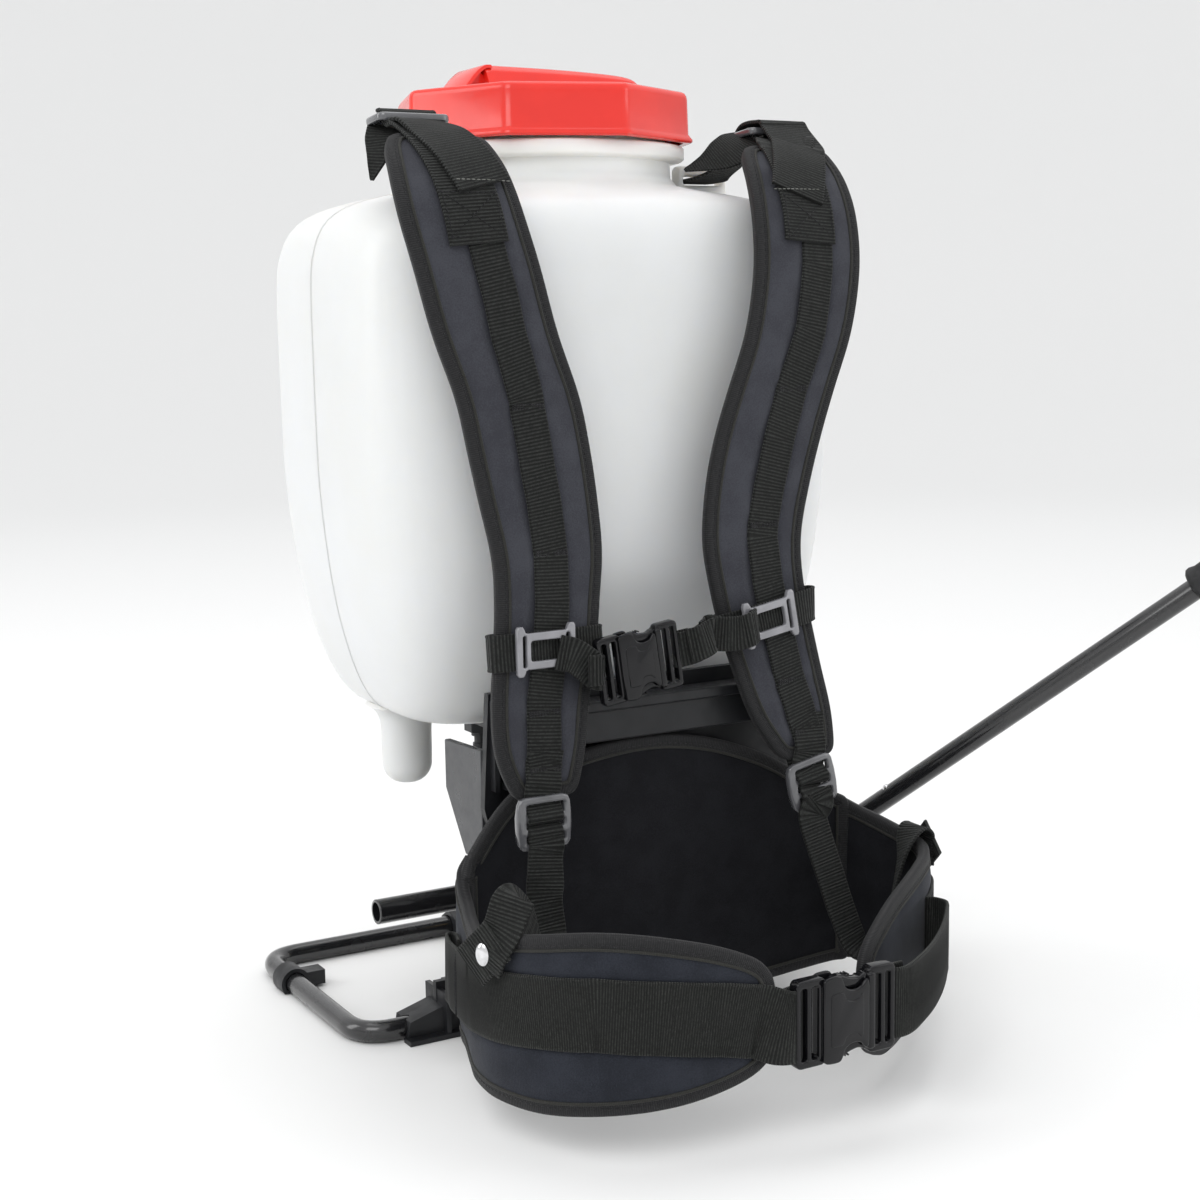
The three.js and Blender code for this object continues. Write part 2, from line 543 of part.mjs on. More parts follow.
add('outlet_nut', cut(
  turned([[0, 143], [11, 143], [11, 155], [0, 155]], 6),
  rod([0, 0, 130], [0, 0, 160], 6.8, 20),
).translate(-20, 62, 0), MAT.plastic);

// ---------------------------------------------------------------- shoulder harness
// Side view of both straps, top to bottom: [y, z]. Then where each strap runs sideways at those stations.
const FALL = [
  [-84, 506], [-101, 498], [-118, 482], [-130, 462], [-136, 434], [-138, 398], [-138, 366], [-138, 338],
  [-138, 311], [-139, 282], [-140, 257], [-142, 231], [-145, 205], [-149, 178], [-151, 157],
];
const PAD_WIDE = [54, 62, 68, 73, 74, 73, 72, 71, 69, 64, 61, 60, 57, 52, 34];
const RUN_LEFT = [-114, -117, -118, -118, -112, -103, -91, -85, -80, -76, -77, -80, -85, -88, -87];
const RUN_RIGHT = [108, 105, 102, 99, 97, 90, 78, 68, 61, 56, 58, 63, 69, 76, 85];
const PAD_THICK = 11;

function shoulderPad(run) {
  return ribbon('yzx', FALL.map((p, i) => ({
    p,
    low: run[i] - PAD_WIDE[i] / 2,
    high: run[i] + PAD_WIDE[i] / 2,
  })), PAD_THICK);
}

// Webbing from the pad's upper end, under the tri-glide, to the lug beside the neck.
function upperWeb(side, x) {
  const half = 14;
  const stations = [[-81, 503], [-70, 500.5], [-58, 497.5], [-45, 494.5]].map((p, i) => {
    const mid = x + (side * 95 - x) * i / 3;
    return { p, low: mid - half, high: mid + half };
  });
  return ribbon('yzx', stations, 2.4);
}

// A flat moulded frame with bars, drawn in its own XZ plane: width, height, frame width, thickness, bar heights.
function ladder(w, h, rim, thick, bars) {
  const hole = (z0, z1) => [[-w / 2 + rim, z0], [w / 2 - rim, z0], [w / 2 - rim, z1], [-w / 2 + rim, z1]];
  const edges = [-h / 2 + rim, ...bars.flatMap((z) => [z - 2, z + 2]), h / 2 - rim];
  const holes = [];
  for (let i = 0; i < edges.length; i += 2) holes.push(hole(edges[i], edges[i + 1]));
  const c = 3;
  const outline = [
    [-w / 2 + c, -h / 2], [w / 2 - c, -h / 2], [w / 2, -h / 2 + c], [w / 2, h / 2 - c],
    [w / 2 - c, h / 2], [-w / 2 + c, h / 2], [-w / 2, h / 2 - c], [-w / 2, -h / 2 + c],
  ];
  return tidy(plate('xz', outline, -thick / 2, thick / 2, holes));
}

const LOCK_Z = 140;
const LOCK_Y = -155;
const SLIDER_Z = 231;
const GLIDE = { width: 42, slope: 0.61, y: -70, z: 510, out: 6.5 };
for (const [side, name, run] of [[-1, 'left', RUN_LEFT], [1, 'right', RUN_RIGHT]]) {
  add('shoulder_pad_' + name, shoulderPad(run), MAT.pad);
  add('upper_web_' + name, upperWeb(side, run[0]), MAT.web);
  const glide = ladder(GLIDE.width, 22, 4, 4.5, [0])
    .rotateX(-Math.PI / 2 - GLIDE.slope)
    .translate(run[0] + side * GLIDE.out, GLIDE.y, GLIDE.z);
  add('triglide_' + name, glide, MAT.plastic);
  const slider = ladder(34, 30, 4, 4, [0]).translate(run[11], -153.4, SLIDER_Z);
  add('sternum_slider_' + name, slider, MAT.plastic);
  const lock = ladder(33, 34, 4.2, 5, [-2]).translate(run[14], LOCK_Y, LOCK_Z - 3);
  add('ladder_lock_' + name, lock, MAT.plastic);
}

// Sternum strap: two webbing ends with a small side-release buckle between them.
const STERNUM_Y = -155;
const STERNUM_Z = 222;
const STERNUM_X = -28;
function sternumWeb(x0, x1, z0, z1) {
  return tidy(plate('xz', [[x0, z0 - 12], [x1, z1 - 12], [x1, z1 + 12], [x0, z0 + 12]], STERNUM_Y - 1.2, STERNUM_Y + 1.2));
}
add('sternum_web_left', sternumWeb(RUN_LEFT[11] + 18, STERNUM_X - 27, SLIDER_Z - 1, STERNUM_Z), MAT.web);
add('sternum_web_right', sternumWeb(STERNUM_X + 46, RUN_RIGHT[11] - 18, STERNUM_Z + 4, SLIDER_Z), MAT.web);

// Side-release buckle halves, centred on x = 0, joined along X. size scales the 38 mm webbing pattern.
function buckleSocket(size) {
  const m = (v) => v * size;
  const shell = bar(m(-18), m(2), m(-6.5), m(6.5), m(-23), m(23));
  const cavity = bar(m(-15), m(10), m(-4.2), m(4.2), m(-20), m(20));
  const windows = bar(m(-14), m(-4), m(-4.2), m(4.2), m(-30), m(30));
  const frame = bar(m(-33), m(-17), m(-4), m(4), m(-24), m(24));
  const slots = [bar(m(-30), m(-26), m(-9), m(9), m(-19.5), m(19.5)), bar(m(-23), m(-18.5), m(-9), m(9), m(-19.5), m(19.5))];
  return cut(join(shell, frame), cavity, windows, ...slots);
}
function bucklePlug(size) {
  const m = (v) => v * size;
  const frame = bar(m(16), m(32), m(-4), m(4), m(-24), m(24));
  const neck = bar(m(3), m(17), m(-5), m(5), m(-22), m(22));
  const prongs = [1, -1].map((s) => bar(m(-13), m(4), m(-3.4), m(3.4), m(s * 13), m(s * 19)));
  const tongue = bar(m(-11), m(4), m(-3.2), m(3.2), m(-4), m(4));
  const slots = [bar(m(25.5), m(29), m(-9), m(9), m(-19.5), m(19.5)), bar(m(18.5), m(22.5), m(-9), m(9), m(-19.5), m(19.5))];
  return cut(join(frame, neck, ...prongs, tongue), ...slots);
}
const STERNUM_SIZE = 0.78;
add('sternum_socket', buckleSocket(STERNUM_SIZE).translate(STERNUM_X, STERNUM_Y, STERNUM_Z), MAT.plastic);
add('sternum_plug', bucklePlug(STERNUM_SIZE).translate(STERNUM_X, STERNUM_Y, STERNUM_Z), MAT.plastic);

// ---------------------------------------------------------------- hip belt
// Plan of the padded belt from the back panel round to each front end.
const BELT_THICK = 11;
add('lumbar_pad', ribbon('xyz', [
  { p: [-119, -127.5], low: 18, high: 122 }, { p: [-98, -125.5], low: 16, high: 146 },
  { p: [-70, -124.5], low: 14, high: 163 }, { p: [-35, -124], low: 14, high: 170 },
  { p: [0, -124], low: 14, high: 171 }, { p: [35, -124], low: 14, high: 165 },
  { p: [70, -124.5], low: 14, high: 152 }, { p: [98, -125.5], low: 16, high: 136 },
  { p: [119, -127.5], low: 18, high: 121 },
], BELT_THICK), MAT.pad);

const WING = [
  { p: [-126.5, -131], low: 20, high: 117 }, { p: [-138, -146], low: 20, high: 107 },
  { p: [-147, -168], low: 20, high: 101 }, { p: [-153, -195], low: 21, high: 103 },
  { p: [-151, -221], low: 22, high: 107 }, { p: [-141, -247], low: 23, high: 112 },
  { p: [-122, -270], low: 26, high: 116 }, { p: [-96, -285], low: 29, high: 113 },
  { p: [-66, -293], low: 35, high: 105 }, { p: [-40, -296], low: 45, high: 93 },
];
// The right wing curls further in, so that the buckle's plug slides out in front of its tip.
const WING_RIGHT = [
  { p: [126.5, -131], low: 20, high: 117 }, { p: [138, -147], low: 20, high: 109 },
  { p: [144, -166], low: 20, high: 104 }, { p: [141, -186], low: 20, high: 102 },
  { p: [129, -204], low: 20, high: 101 }, { p: [113, -219], low: 19, high: 101 },
  { p: [92, -235], low: 17, high: 99 }, { p: [69, -251], low: 16, high: 96 },
  { p: [46, -267], low: 19, high: 90 }, { p: [25, -281], low: 33, high: 81 },
].reverse();
add('hip_wing_left', ribbon('xyz', WING, BELT_THICK), MAT.pad);
add('hip_wing_right', ribbon('xyz', WING_RIGHT, BELT_THICK), MAT.pad);

// The belt webbing lies on the outer face of each wing, and rises a little towards the front.
const HIP_Z = 63;
const HIP_HALF = 19;
const RISE = [3, 3, 4, 5, 8, 12, 14, 12, 8, 2];
function webOn(wing, rise) {
  return wing.map((s, i) => {
    const before = wing[Math.max(i - 1, 0)].p;
    const after = wing[Math.min(i + 1, wing.length - 1)].p;
    const along = new THREE.Vector2(after[0] - before[0], after[1] - before[1]).normalize();
    const off = BELT_THICK / 2 + 1.6;
    return {
      p: [s.p[0] + along.y * off, s.p[1] - along.x * off],
      low: HIP_Z - HIP_HALF + rise[i],
      high: HIP_Z + HIP_HALF + rise[i],
    };
  });
}
const RISE_RIGHT = [1, 1, 0, 0, 0, 0, 0, -1, -2, -2];
add('hip_web_left', ribbon('xyz', webOn(WING, RISE), 2.2), MAT.web);
add('hip_web_right', ribbon('xyz', webOn(WING_RIGHT, RISE_RIGHT).slice(1), 2.2), MAT.web);
add('hip_socket', buckleSocket(1).translate(0, WAIST_Y, HIP_Z), MAT.plastic);
add('hip_plug', bucklePlug(1).translate(0, WAIST_Y, HIP_Z), MAT.plastic);

// Webbing from each ladder lock down to its anchor on the hip wing: [y, z, x]. The right one hangs slack inside it.
const LOWER_WEB = {
  left: [[-156, 118, -92], [-160, 108, -104.5], [-168, 98, -117], [-180, 92, -129.5]],
  right: [
    [-157, 118, 86], [-165, 98, 89], [-175, 72, 93], [-184, 48, 98], [-190, 41, 103],
    [-194, 48, 107], [-193, 68, 112], [-187, 88, 118],
  ],
};
for (const [name, route] of Object.entries(LOWER_WEB)) {
  const stations = route.map(([y, z, x]) => ({ p: [y, z], low: x - 10, high: x + 10 }));
  add('lower_web_' + name, ribbon('yzx', stations, 2.2), MAT.web);
}
add('rivet_left', rod([-157.6, -222, 100], [-159.5, -222, 100], 4.2, 14), MAT.rivet);
add('rivet_right', rod([149, -176.8, 96], [150.9, -176.8, 96], 4.2, 14), MAT.rivet);

export default sprayer;
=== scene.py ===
"""Backpack lever-pump sprayer: shells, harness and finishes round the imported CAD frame.

Lengths are millimetres in the row's own frame (+Z up, the wearer stands on the -Y side)
and become metres where a mesh is made.
"""
import json
import math

import bmesh
import bpy
import numpy as np
from mathutils import Matrix, Vector
from mathutils.bvhtree import BVHTree


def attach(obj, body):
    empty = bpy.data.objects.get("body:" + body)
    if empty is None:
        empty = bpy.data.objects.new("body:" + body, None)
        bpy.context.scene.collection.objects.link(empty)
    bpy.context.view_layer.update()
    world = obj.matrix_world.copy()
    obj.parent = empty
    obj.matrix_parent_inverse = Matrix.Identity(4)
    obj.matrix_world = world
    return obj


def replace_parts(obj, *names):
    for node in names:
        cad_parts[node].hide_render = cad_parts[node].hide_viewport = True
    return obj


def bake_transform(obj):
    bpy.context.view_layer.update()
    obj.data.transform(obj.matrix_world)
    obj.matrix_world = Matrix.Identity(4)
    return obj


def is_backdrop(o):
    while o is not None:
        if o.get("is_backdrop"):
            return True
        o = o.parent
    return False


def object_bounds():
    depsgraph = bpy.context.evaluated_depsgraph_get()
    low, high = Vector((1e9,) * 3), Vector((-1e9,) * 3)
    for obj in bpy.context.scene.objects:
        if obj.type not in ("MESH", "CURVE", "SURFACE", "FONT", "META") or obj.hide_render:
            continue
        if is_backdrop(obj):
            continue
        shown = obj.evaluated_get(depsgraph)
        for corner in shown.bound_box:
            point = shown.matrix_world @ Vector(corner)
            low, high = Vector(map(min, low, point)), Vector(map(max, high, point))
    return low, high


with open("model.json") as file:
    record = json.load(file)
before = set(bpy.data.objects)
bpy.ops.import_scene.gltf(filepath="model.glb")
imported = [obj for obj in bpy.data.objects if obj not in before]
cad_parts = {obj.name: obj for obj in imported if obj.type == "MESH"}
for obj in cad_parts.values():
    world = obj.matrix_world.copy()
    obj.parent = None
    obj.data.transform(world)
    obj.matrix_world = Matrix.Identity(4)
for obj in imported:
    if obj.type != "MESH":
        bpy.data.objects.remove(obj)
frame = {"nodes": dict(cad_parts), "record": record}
cad_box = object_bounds()

MM = 0.001
TAU = 2 * math.pi
X_AXIS, Y_AXIS, Z_AXIS = np.eye(3)


# ------------------------------------------------------------------ mesh tools
def link(name, mesh, material, slot, body, crease=40):
    """Puts a mesh in the scene as a piece that rides on a CAD body, or on none if two bodies share it."""
    obj = bpy.data.objects.new(name, mesh)
    bpy.context.scene.collection.objects.link(obj)
    mesh.materials.clear()
    mesh.materials.append(material)
    mesh.shade_smooth()
    mesh.set_sharp_from_angle(angle=math.radians(crease))
    if body:
        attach(obj, body)
    return obj


def mesh_of(points, faces):
    """A mesh in metres from millimetre points, with its faces turned outwards."""
    mesh = bpy.data.meshes.new("mesh")
    mesh.from_pydata([tuple(p) for p in np.asarray(points, float) * MM], [], faces)
    tidy_mesh(mesh)
    return mesh


def tidy_mesh(mesh, join=1e-6):
    bm = bmesh.new()
    bm.from_mesh(mesh)
    bmesh.ops.remove_doubles(bm, verts=bm.verts, dist=join)
    bmesh.ops.recalc_face_normals(bm, faces=bm.faces)
    bm.to_mesh(mesh)
    bm.free()


def loft(rings, closed=False, caps=True):
    """Points and quads through rings that all have the same number of points."""
    n = len(rings[0])
    count = len(rings)
    faces = []
    for i in range(count if closed else count - 1):
        a = i * n
        b = ((i + 1) % count) * n
        for k in range(n):
            m = (k + 1) % n
            faces.append((a + k, a + m, b + m, b + k))
    if caps and not closed:
        faces.append(tuple(reversed(range(n))))
        faces.append(tuple(range((count - 1) * n, count * n)))
    return np.concatenate(rings), faces


def unit(v):
    return v / np.maximum(np.linalg.norm(v, axis=-1, keepdims=True), 1e-9)


def through(points, count, density=24):
    """A smooth line through rows of numbers, at even steps along its first three columns."""
    p = np.asarray(points, float)
    q = np.vstack([2 * p[0] - p[1], p, 2 * p[-1] - p[-2]])
    t = np.linspace(0, 1, density, endpoint=False)[:, None]
    pieces = []
    for a, b, c, d in zip(q, q[1:], q[2:], q[3:]):
        square = (2 * a - 5 * b + 4 * c - d) * t**2
        cube = (3 * b - a - 3 * c + d) * t**3
        pieces.append(0.5 * (2 * b + (c - a) * t + square + cube))
    dense = np.vstack([*pieces, p[-1:]])
    return evenly(dense, count)


def evenly(line, count):
    """The same line at even steps along its first three columns."""
    s = np.concatenate([[0], np.cumsum(np.linalg.norm(np.diff(line[:, :3], axis=0), axis=1))])
    at = np.linspace(0, s[-1], count)
    return np.stack([np.interp(at, s, line[:, k]) for k in range(line.shape[1])], 1)


def sweep(route, facing, section, closed=False):
    """Lofts a section along a route. facing is the outward side; section gives [across, out] at each step."""
    t = unit(np.gradient(route, axis=0))
    if closed:
        t = unit(np.roll(route, -1, 0) - np.roll(route, 1, 0))
    across = unit(np.cross(t, np.broadcast_to(facing, route.shape)))
    out = np.cross(across, t)
    rings = []
    for i, p in enumerate(route):
        shape = section(i) if callable(section) else section
        rings.append(p + shape[:, :1] * across[i] + shape[:, 1:] * out[i])
    return loft(rings, closed)


def circle(r, sides=20):
    a = np.arange(sides) * TAU / sides
    return np.stack([r * np.cos(a), r * np.sin(a)], 1)


def revolve(profile, sides=64, centre=(0, 0, 0), axis=Z_AXIS):
    """A closed [radius, height] profile turned about an axis. Points on the axis are merged later."""
    axis = unit(np.asarray(axis, float))
    side = unit(np.cross(axis, Y_AXIS if abs(axis[1]) < 0.9 else X_AXIS))
    other = np.cross(axis, side)
    profile = np.asarray(profile, float)
    rings = []
    for a in np.arange(sides) * TAU / sides:
        spoke = math.cos(a) * side + math.sin(a) * other
        rings.append(np.asarray(centre) + profile[:, :1] * spoke + profile[:, 1:] * axis)
    return loft(rings, closed=True)


def bevel(obj, width, segments=2, angle=30):
    m = obj.modifiers.new("soft_edges", "BEVEL")
    m.width = width * MM
    m.segments = segments
    m.limit_method = "ANGLE"
    m.angle_limit = math.radians(angle)
    m.harden_normals = True


def bake_modifiers(obj):
    """Replaces a piece's mesh by what its modifiers make of it."""
    bpy.context.view_layer.update()
    mesh = bpy.data.meshes.new_from_object(obj.evaluated_get(bpy.context.evaluated_depsgraph_get()))
    obj.modifiers.clear()
    obj.data = mesh


def rounded_rectangle(w, h, r, centre=(0, 0)):
    """Outline points of a rectangle with round corners."""
    points = []
    for quarter, (sx, sy) in enumerate(((1, 1), (-1, 1), (-1, -1), (1, -1))):
        cx = centre[0] + sx * (w / 2 - r)
        cy = centre[1] + sy * (h / 2 - r)
        for share in np.linspace(0, 1, 6):
            a = (quarter + share) * math.pi / 2
            points.append((cx + r * math.cos(a), cy + r * math.sin(a)))
    return points


def plate_mesh(outline, holes, thickness, edge):
    """A flat plate in its own XY plane with round edges, in millimetres."""
    curve = bpy.data.curves.new("plate", "CURVE")
    curve.dimensions = "2D"
    curve.fill_mode = "BOTH"
    curve.extrude = thickness / 2 - edge
    curve.bevel_depth = edge
    curve.bevel_resolution = 2
    curve.offset = -edge
    for loop in (outline, *holes):
        spline = curve.splines.new("POLY")
        spline.points.add(len(loop) - 1)
        for point, (x, y) in zip(spline.points, loop):
            point.co = (x, y, 0, 1)
        spline.use_cyclic_u = True
    obj = bpy.data.objects.new("plate", curve)
    mesh = bpy.data.meshes.new_from_object(obj)
    bpy.data.objects.remove(obj)
    tidy_mesh(mesh, 1e-4)
    return mesh


def place(mesh, origin, across, up):
    """Moves a mesh drawn in millimetres in XY so that X runs along across and Y along up."""
    across, up = unit(np.asarray(across, float)), np.asarray(up, float)
    up = unit(up - across * (up @ across))
    m = Matrix([(*row, 0) for row in np.stack([across, up, np.cross(across, up)], 1)] + [(0, 0, 0, 1)])
    mesh.transform(Matrix.Translation(Vector(origin) * MM) @ m @ Matrix.Scale(MM, 4))


def joined(meshes):
    """One mesh that holds several."""
    bm = bmesh.new()
    for m in meshes:
        bm.from_mesh(m)
    mesh = bpy.data.meshes.new("joined")
    bm.to_mesh(mesh)
    bm.free()
    return mesh


# ------------------------------------------------------------------ materials
class Finish:
    """A Principled material with small helpers for its texture nodes."""

    def __init__(self, name, color, roughness, **sockets):
        self.material = bpy.data.materials.new(name)
        self.material.use_nodes = True
        self.tree = self.material.node_tree
        self.shader = self.tree.nodes["Principled BSDF"]
        self.color = (*color, 1)
        self.shader.inputs["Base Color"].default_value = self.color
        self.shader.inputs["Roughness"].default_value = roughness
        for socket, value in sockets.items():
            self.shader.inputs[socket.replace("_", " ").title().replace("Ior", "IOR")].default_value = value
        self.normal = None

    def node(self, kind, **values):
        n = self.tree.nodes.new(kind)
        for key, value in values.items():
            if key in n.inputs:
                n.inputs[key].default_value = value
            else:
                setattr(n, key, value)
        return n

    def link(self, a, b):
        self.tree.links.new(a, b)
        return self

    def place(self, coordinates="Object"):
        """Where on the piece a texture is read."""
        return self.node("ShaderNodeTexCoord").outputs[coordinates]

    def noise(self, scale, detail=3.0, rough=0.5, stretch=None):
        n = self.node("ShaderNodeTexNoise", Scale=scale, Detail=detail, Roughness=rough)
        where = self.place()
        if stretch:
            mapping = self.node("ShaderNodeMapping", Scale=stretch)
            self.link(where, mapping.inputs["Vector"])
            where = mapping.outputs["Vector"]
        self.link(where, n.inputs["Vector"])
        return n.outputs["Fac"]

    def bands(self, pitch, direction):
        """Even ribs, pitch millimetres apart."""
        n = self.node("ShaderNodeTexWave", Scale=TAU / 20 / (pitch * MM))
        n.bands_direction = direction
        self.link(self.place("UV"), n.inputs["Vector"])
        return n.outputs["Fac"]

    def weave(self, pitch):
        """Small knitted loops, pitch millimetres apart."""
        n = self.node("ShaderNodeTexVoronoi", Scale=1 / (pitch * MM), Randomness=0.35)
        self.link(self.place(), n.inputs["Vector"])
        return n.outputs["Distance"]

    def mix(self, a, b, kind="MULTIPLY"):
        """Two textures, or a texture and a number, multiplied or added."""
        n = self.node("ShaderNodeMath", operation=kind)
        self.link(a, n.inputs[0])
        if isinstance(b, float):
            n.inputs[1].default_value = b
        else:
            self.link(b, n.inputs[1])
        return n.outputs[0]

    def spread(self, fac, low, high):
        """Maps a texture's 0.3 to 0.7 onto low to high."""
        n = self.node("ShaderNodeMapRange")
        for socket, value in (("From Min", 0.3), ("From Max", 0.7), ("To Min", low), ("To Max", high)):
            n.inputs[socket].default_value = value
        self.link(fac, n.inputs["Value"])
        return n.outputs["Result"]

    def tint(self, fac, other, low=0.35, high=0.65):
        """Blends the base colour towards another where the texture is high."""
        ramp = self.node("ShaderNodeValToRGB")
        ramp.color_ramp.elements[0].position = low
        ramp.color_ramp.elements[0].color = self.color
        ramp.color_ramp.elements[1].position = high
        ramp.color_ramp.elements[1].color = (*other, 1)
        self.link(fac, ramp.inputs["Fac"])
        return self.link(ramp.outputs["Color"], self.shader.inputs["Base Color"])

    def polish(self, fac, low, high):
        return self.link(self.spread(fac, low, high), self.shader.inputs["Roughness"])

    def bump(self, height, depth, strength=1.0):
        """Adds relief of that depth in millimetres."""
        n = self.node("ShaderNodeBump", Strength=strength, Distance=depth * MM)
        self.link(height, n.inputs["Height"])
        if self.normal:
            self.link(self.normal, n.inputs["Normal"])
        self.normal = n.outputs["Normal"]
        return self.link(self.normal, self.shader.inputs["Normal"])


def natural_polyethylene():
    f = Finish("natural_polyethylene", (0.90, 0.895, 0.865), 0.34, subsurface_weight=0.55,
               subsurface_scale=0.02, specular_ior_level=0.45)
    f.shader.inputs["Subsurface Radius"].default_value = (1.0, 0.9, 0.75)
    f.tint(f.noise(9, 4), (0.86, 0.85, 0.80))
    f.polish(f.noise(60, 4), 0.28, 0.42)
    f.bump(f.noise(38, 2, stretch=(1, 1, 0.25)), 0.35, 0.5)
    f.bump(f.noise(1500, 2), 0.03, 0.6)
    return f.material


def red_polypropylene():
    f = Finish("red_polypropylene", (0.80, 0.030, 0.018), 0.16, specular_ior_level=0.5)
    f.tint(f.noise(30, 5), (0.72, 0.024, 0.015))
    f.polish(f.noise(120, 5), 0.12, 0.22)
    f.bump(f.noise(220, 2), 0.05, 0.5)
    return f.material


def moulded(name, color, roughness, grain=0.05, **sockets):
    f = Finish(name, color, roughness, **sockets)
    f.tint(f.noise(70, 4), tuple(c * 1.35 for c in color))
    f.polish(f.noise(160, 4), roughness * 0.8, roughness * 1.25)
    f.bump(f.noise(1800, 2), grain, 0.7)
    f.bump(f.noise(60, 2), 0.12, 0.25)
    return f.material


def painted_tube():
    f = Finish("painted_tube", (0.011, 0.011, 0.012), 0.2, coat_weight=0.6, coat_roughness=0.06)
    f.tint(f.noise(180, 6, 0.7), (0.03, 0.03, 0.031), 0.62, 0.80)
    f.polish(f.noise(90, 5), 0.14, 0.32)
    f.bump(f.noise(420, 2), 0.05, 0.6)
    return f.material


def metal(name, color, roughness):
    f = Finish(name, color, roughness, metallic=1.0)
    f.tint(f.noise(300, 4), tuple(c * 0.8 for c in color))
    f.polish(f.noise(500, 3, stretch=(1, 1, 8)), roughness * 0.7, roughness * 1.4)
    f.bump(f.noise(900, 2), 0.02, 0.5)
    return f.material


YARN = 0.55


def foam_cloth(name, color, light, pitch, sheen):
    """Knitted or smooth cloth over foam: fine loops, slow unevenness and a soft sheen."""
    f = Finish(name, color, 0.85, sheen_weight=sheen, sheen_roughness=0.45, specular_ior_level=0.15)
    f.tint(f.mix(f.mix(f.noise(60, 3), f.noise(1400, 2), "ADD"), 0.5), light, 0.40, 0.60)
    f.bump(f.weave(pitch), 0.16, 0.8)
    f.bump(f.noise(110, 3), 0.35, 0.35)
    return f.material


def ribbed_web(name, color, light, pitch, depth):
    """Woven webbing: ribs across it, yarns along it, their crests painted lighter as a painted highlight. UVs
    are metres, U along and V across.
    """
    f = Finish(name, color, 0.72, sheen_weight=0.06, sheen_roughness=0.5, specular_ior_level=0.18)
    ribs = f.bands(pitch, "X")
    yarns = f.bands(YARN, "Y")
    # Painted highlight: the crests of the ribs and yarns are blended towards the lighter colour, mixed with
    # random unevenness from the noise.
    f.tint(f.mix(ribs, f.mix(yarns, f.noise(700, 3))), light, 0.12, 0.5)
    f.bump(ribs, depth, 0.9)
    f.bump(yarns, depth * 0.35, 0.7)
    f.bump(f.noise(90, 3), 0.25, 0.3)
    return f.material


def knurled_rubber():
    f = Finish("soft_rubber", (0.016, 0.016, 0.017), 0.62, specular_ior_level=0.35)
    f.tint(f.noise(200, 4), (0.03, 0.03, 0.031))
    f.bump(f.noise(900, 3), 0.08, 0.8)
    return f.material


HDPE = natural_polyethylene()
RED = red_polypropylene()
BLACK = moulded("satin_moulding", (0.010, 0.0105, 0.012), 0.40, specular_ior_level=0.35)
# Painted light: the side plates are the carrier's black moulding, given a lighter grey for their lit faces.
LIT_FACE_GREY = moulded("cheek_moulding_painted_light", (0.032, 0.033, 0.036), 0.32)
ACETAL = moulded("buckle_acetal", (0.005, 0.005, 0.006), 0.13, grain=0.01, specular_ior_level=0.32)
GLOSSY = {"grain": 0.01, "coat_weight": 1.0, "coat_roughness": 0.06}
# Painted glints: tri-glides and ladder locks get a dark grey lighter than the black acetal, standing in for
# the reflections on their edges.
PAINTED_GLINT_ACETAL = moulded("lock_acetal_painted_glint", (0.075, 0.076, 0.082), 0.2, **GLOSSY)
# Painted highlight: the slider frames are given a light grey instead of the black of the other buckles,
# standing in for their bright reflections.
PAINTED_HIGHLIGHT_ACETAL = moulded("slider_acetal_painted_highlight", (0.19, 0.19, 0.205), 0.2, **GLOSSY)
BUSHING = moulded("natural_acetal", (0.72, 0.70, 0.64), 0.4)
CYLINDER = moulded("cylinder_moulding", (0.30, 0.31, 0.33), 0.35)
PAINT = painted_tube()
STEEL = metal("bright_steel", (0.78, 0.78, 0.79), 0.18)
BRASS = metal("turned_brass", (0.70, 0.52, 0.24), 0.24)
RUBBER = knurled_rubber()
KNIT = foam_cloth("strap_knit", (0.034, 0.035, 0.043), (0.048, 0.050, 0.060), 0.8, 0.10)
BELT_CLOTH = foam_cloth("belt_cloth", (0.015, 0.017, 0.023), (0.024, 0.027, 0.036), 0.6, 0.07)
LINING = foam_cloth("belt_lining", (0.006, 0.0062, 0.008), (0.010, 0.0105, 0.013), 0.6, 0.03)
# The second colour of each of these four finishes is the painted highlight on their rib crests.
WEB = ribbed_web("ribbed_webbing", (0.006, 0.0065, 0.006), (0.058, 0.062, 0.058), 1.9, 0.45)
BELT_WEB = ribbed_web("belt_webbing", (0.008, 0.0085, 0.008), (0.064, 0.068, 0.062), 1.3, 0.35)
CORD = ribbed_web("piping_ridge", (0.022, 0.022, 0.020), (0.050, 0.050, 0.045), 0.8, 0.1)
TAPE = ribbed_web("binding_tape", (0.014, 0.014, 0.015), (0.040, 0.040, 0.041), 1.1, 0.15)
THREAD = foam_cloth("thread", (0.007, 0.007, 0.008), (0.02, 0.02, 0.022), 0.5, 0.2)
PALE_THREAD = foam_cloth("pale_thread", (0.11, 0.115, 0.10), (0.24, 0.245, 0.23), 0.5, 0.2)


# ------------------------------------------------------------------ camera, floor and light
CAMERA_AT = (-554.5, -1033.8, 405.7)
CAMERA_AZIMUTH = -29.7
CAMERA_DOWN = 8.35
CAMERA_ROLL = -0.95
CAMERA_LENS = 57.37      # on a 36 mm sensor, for a square picture


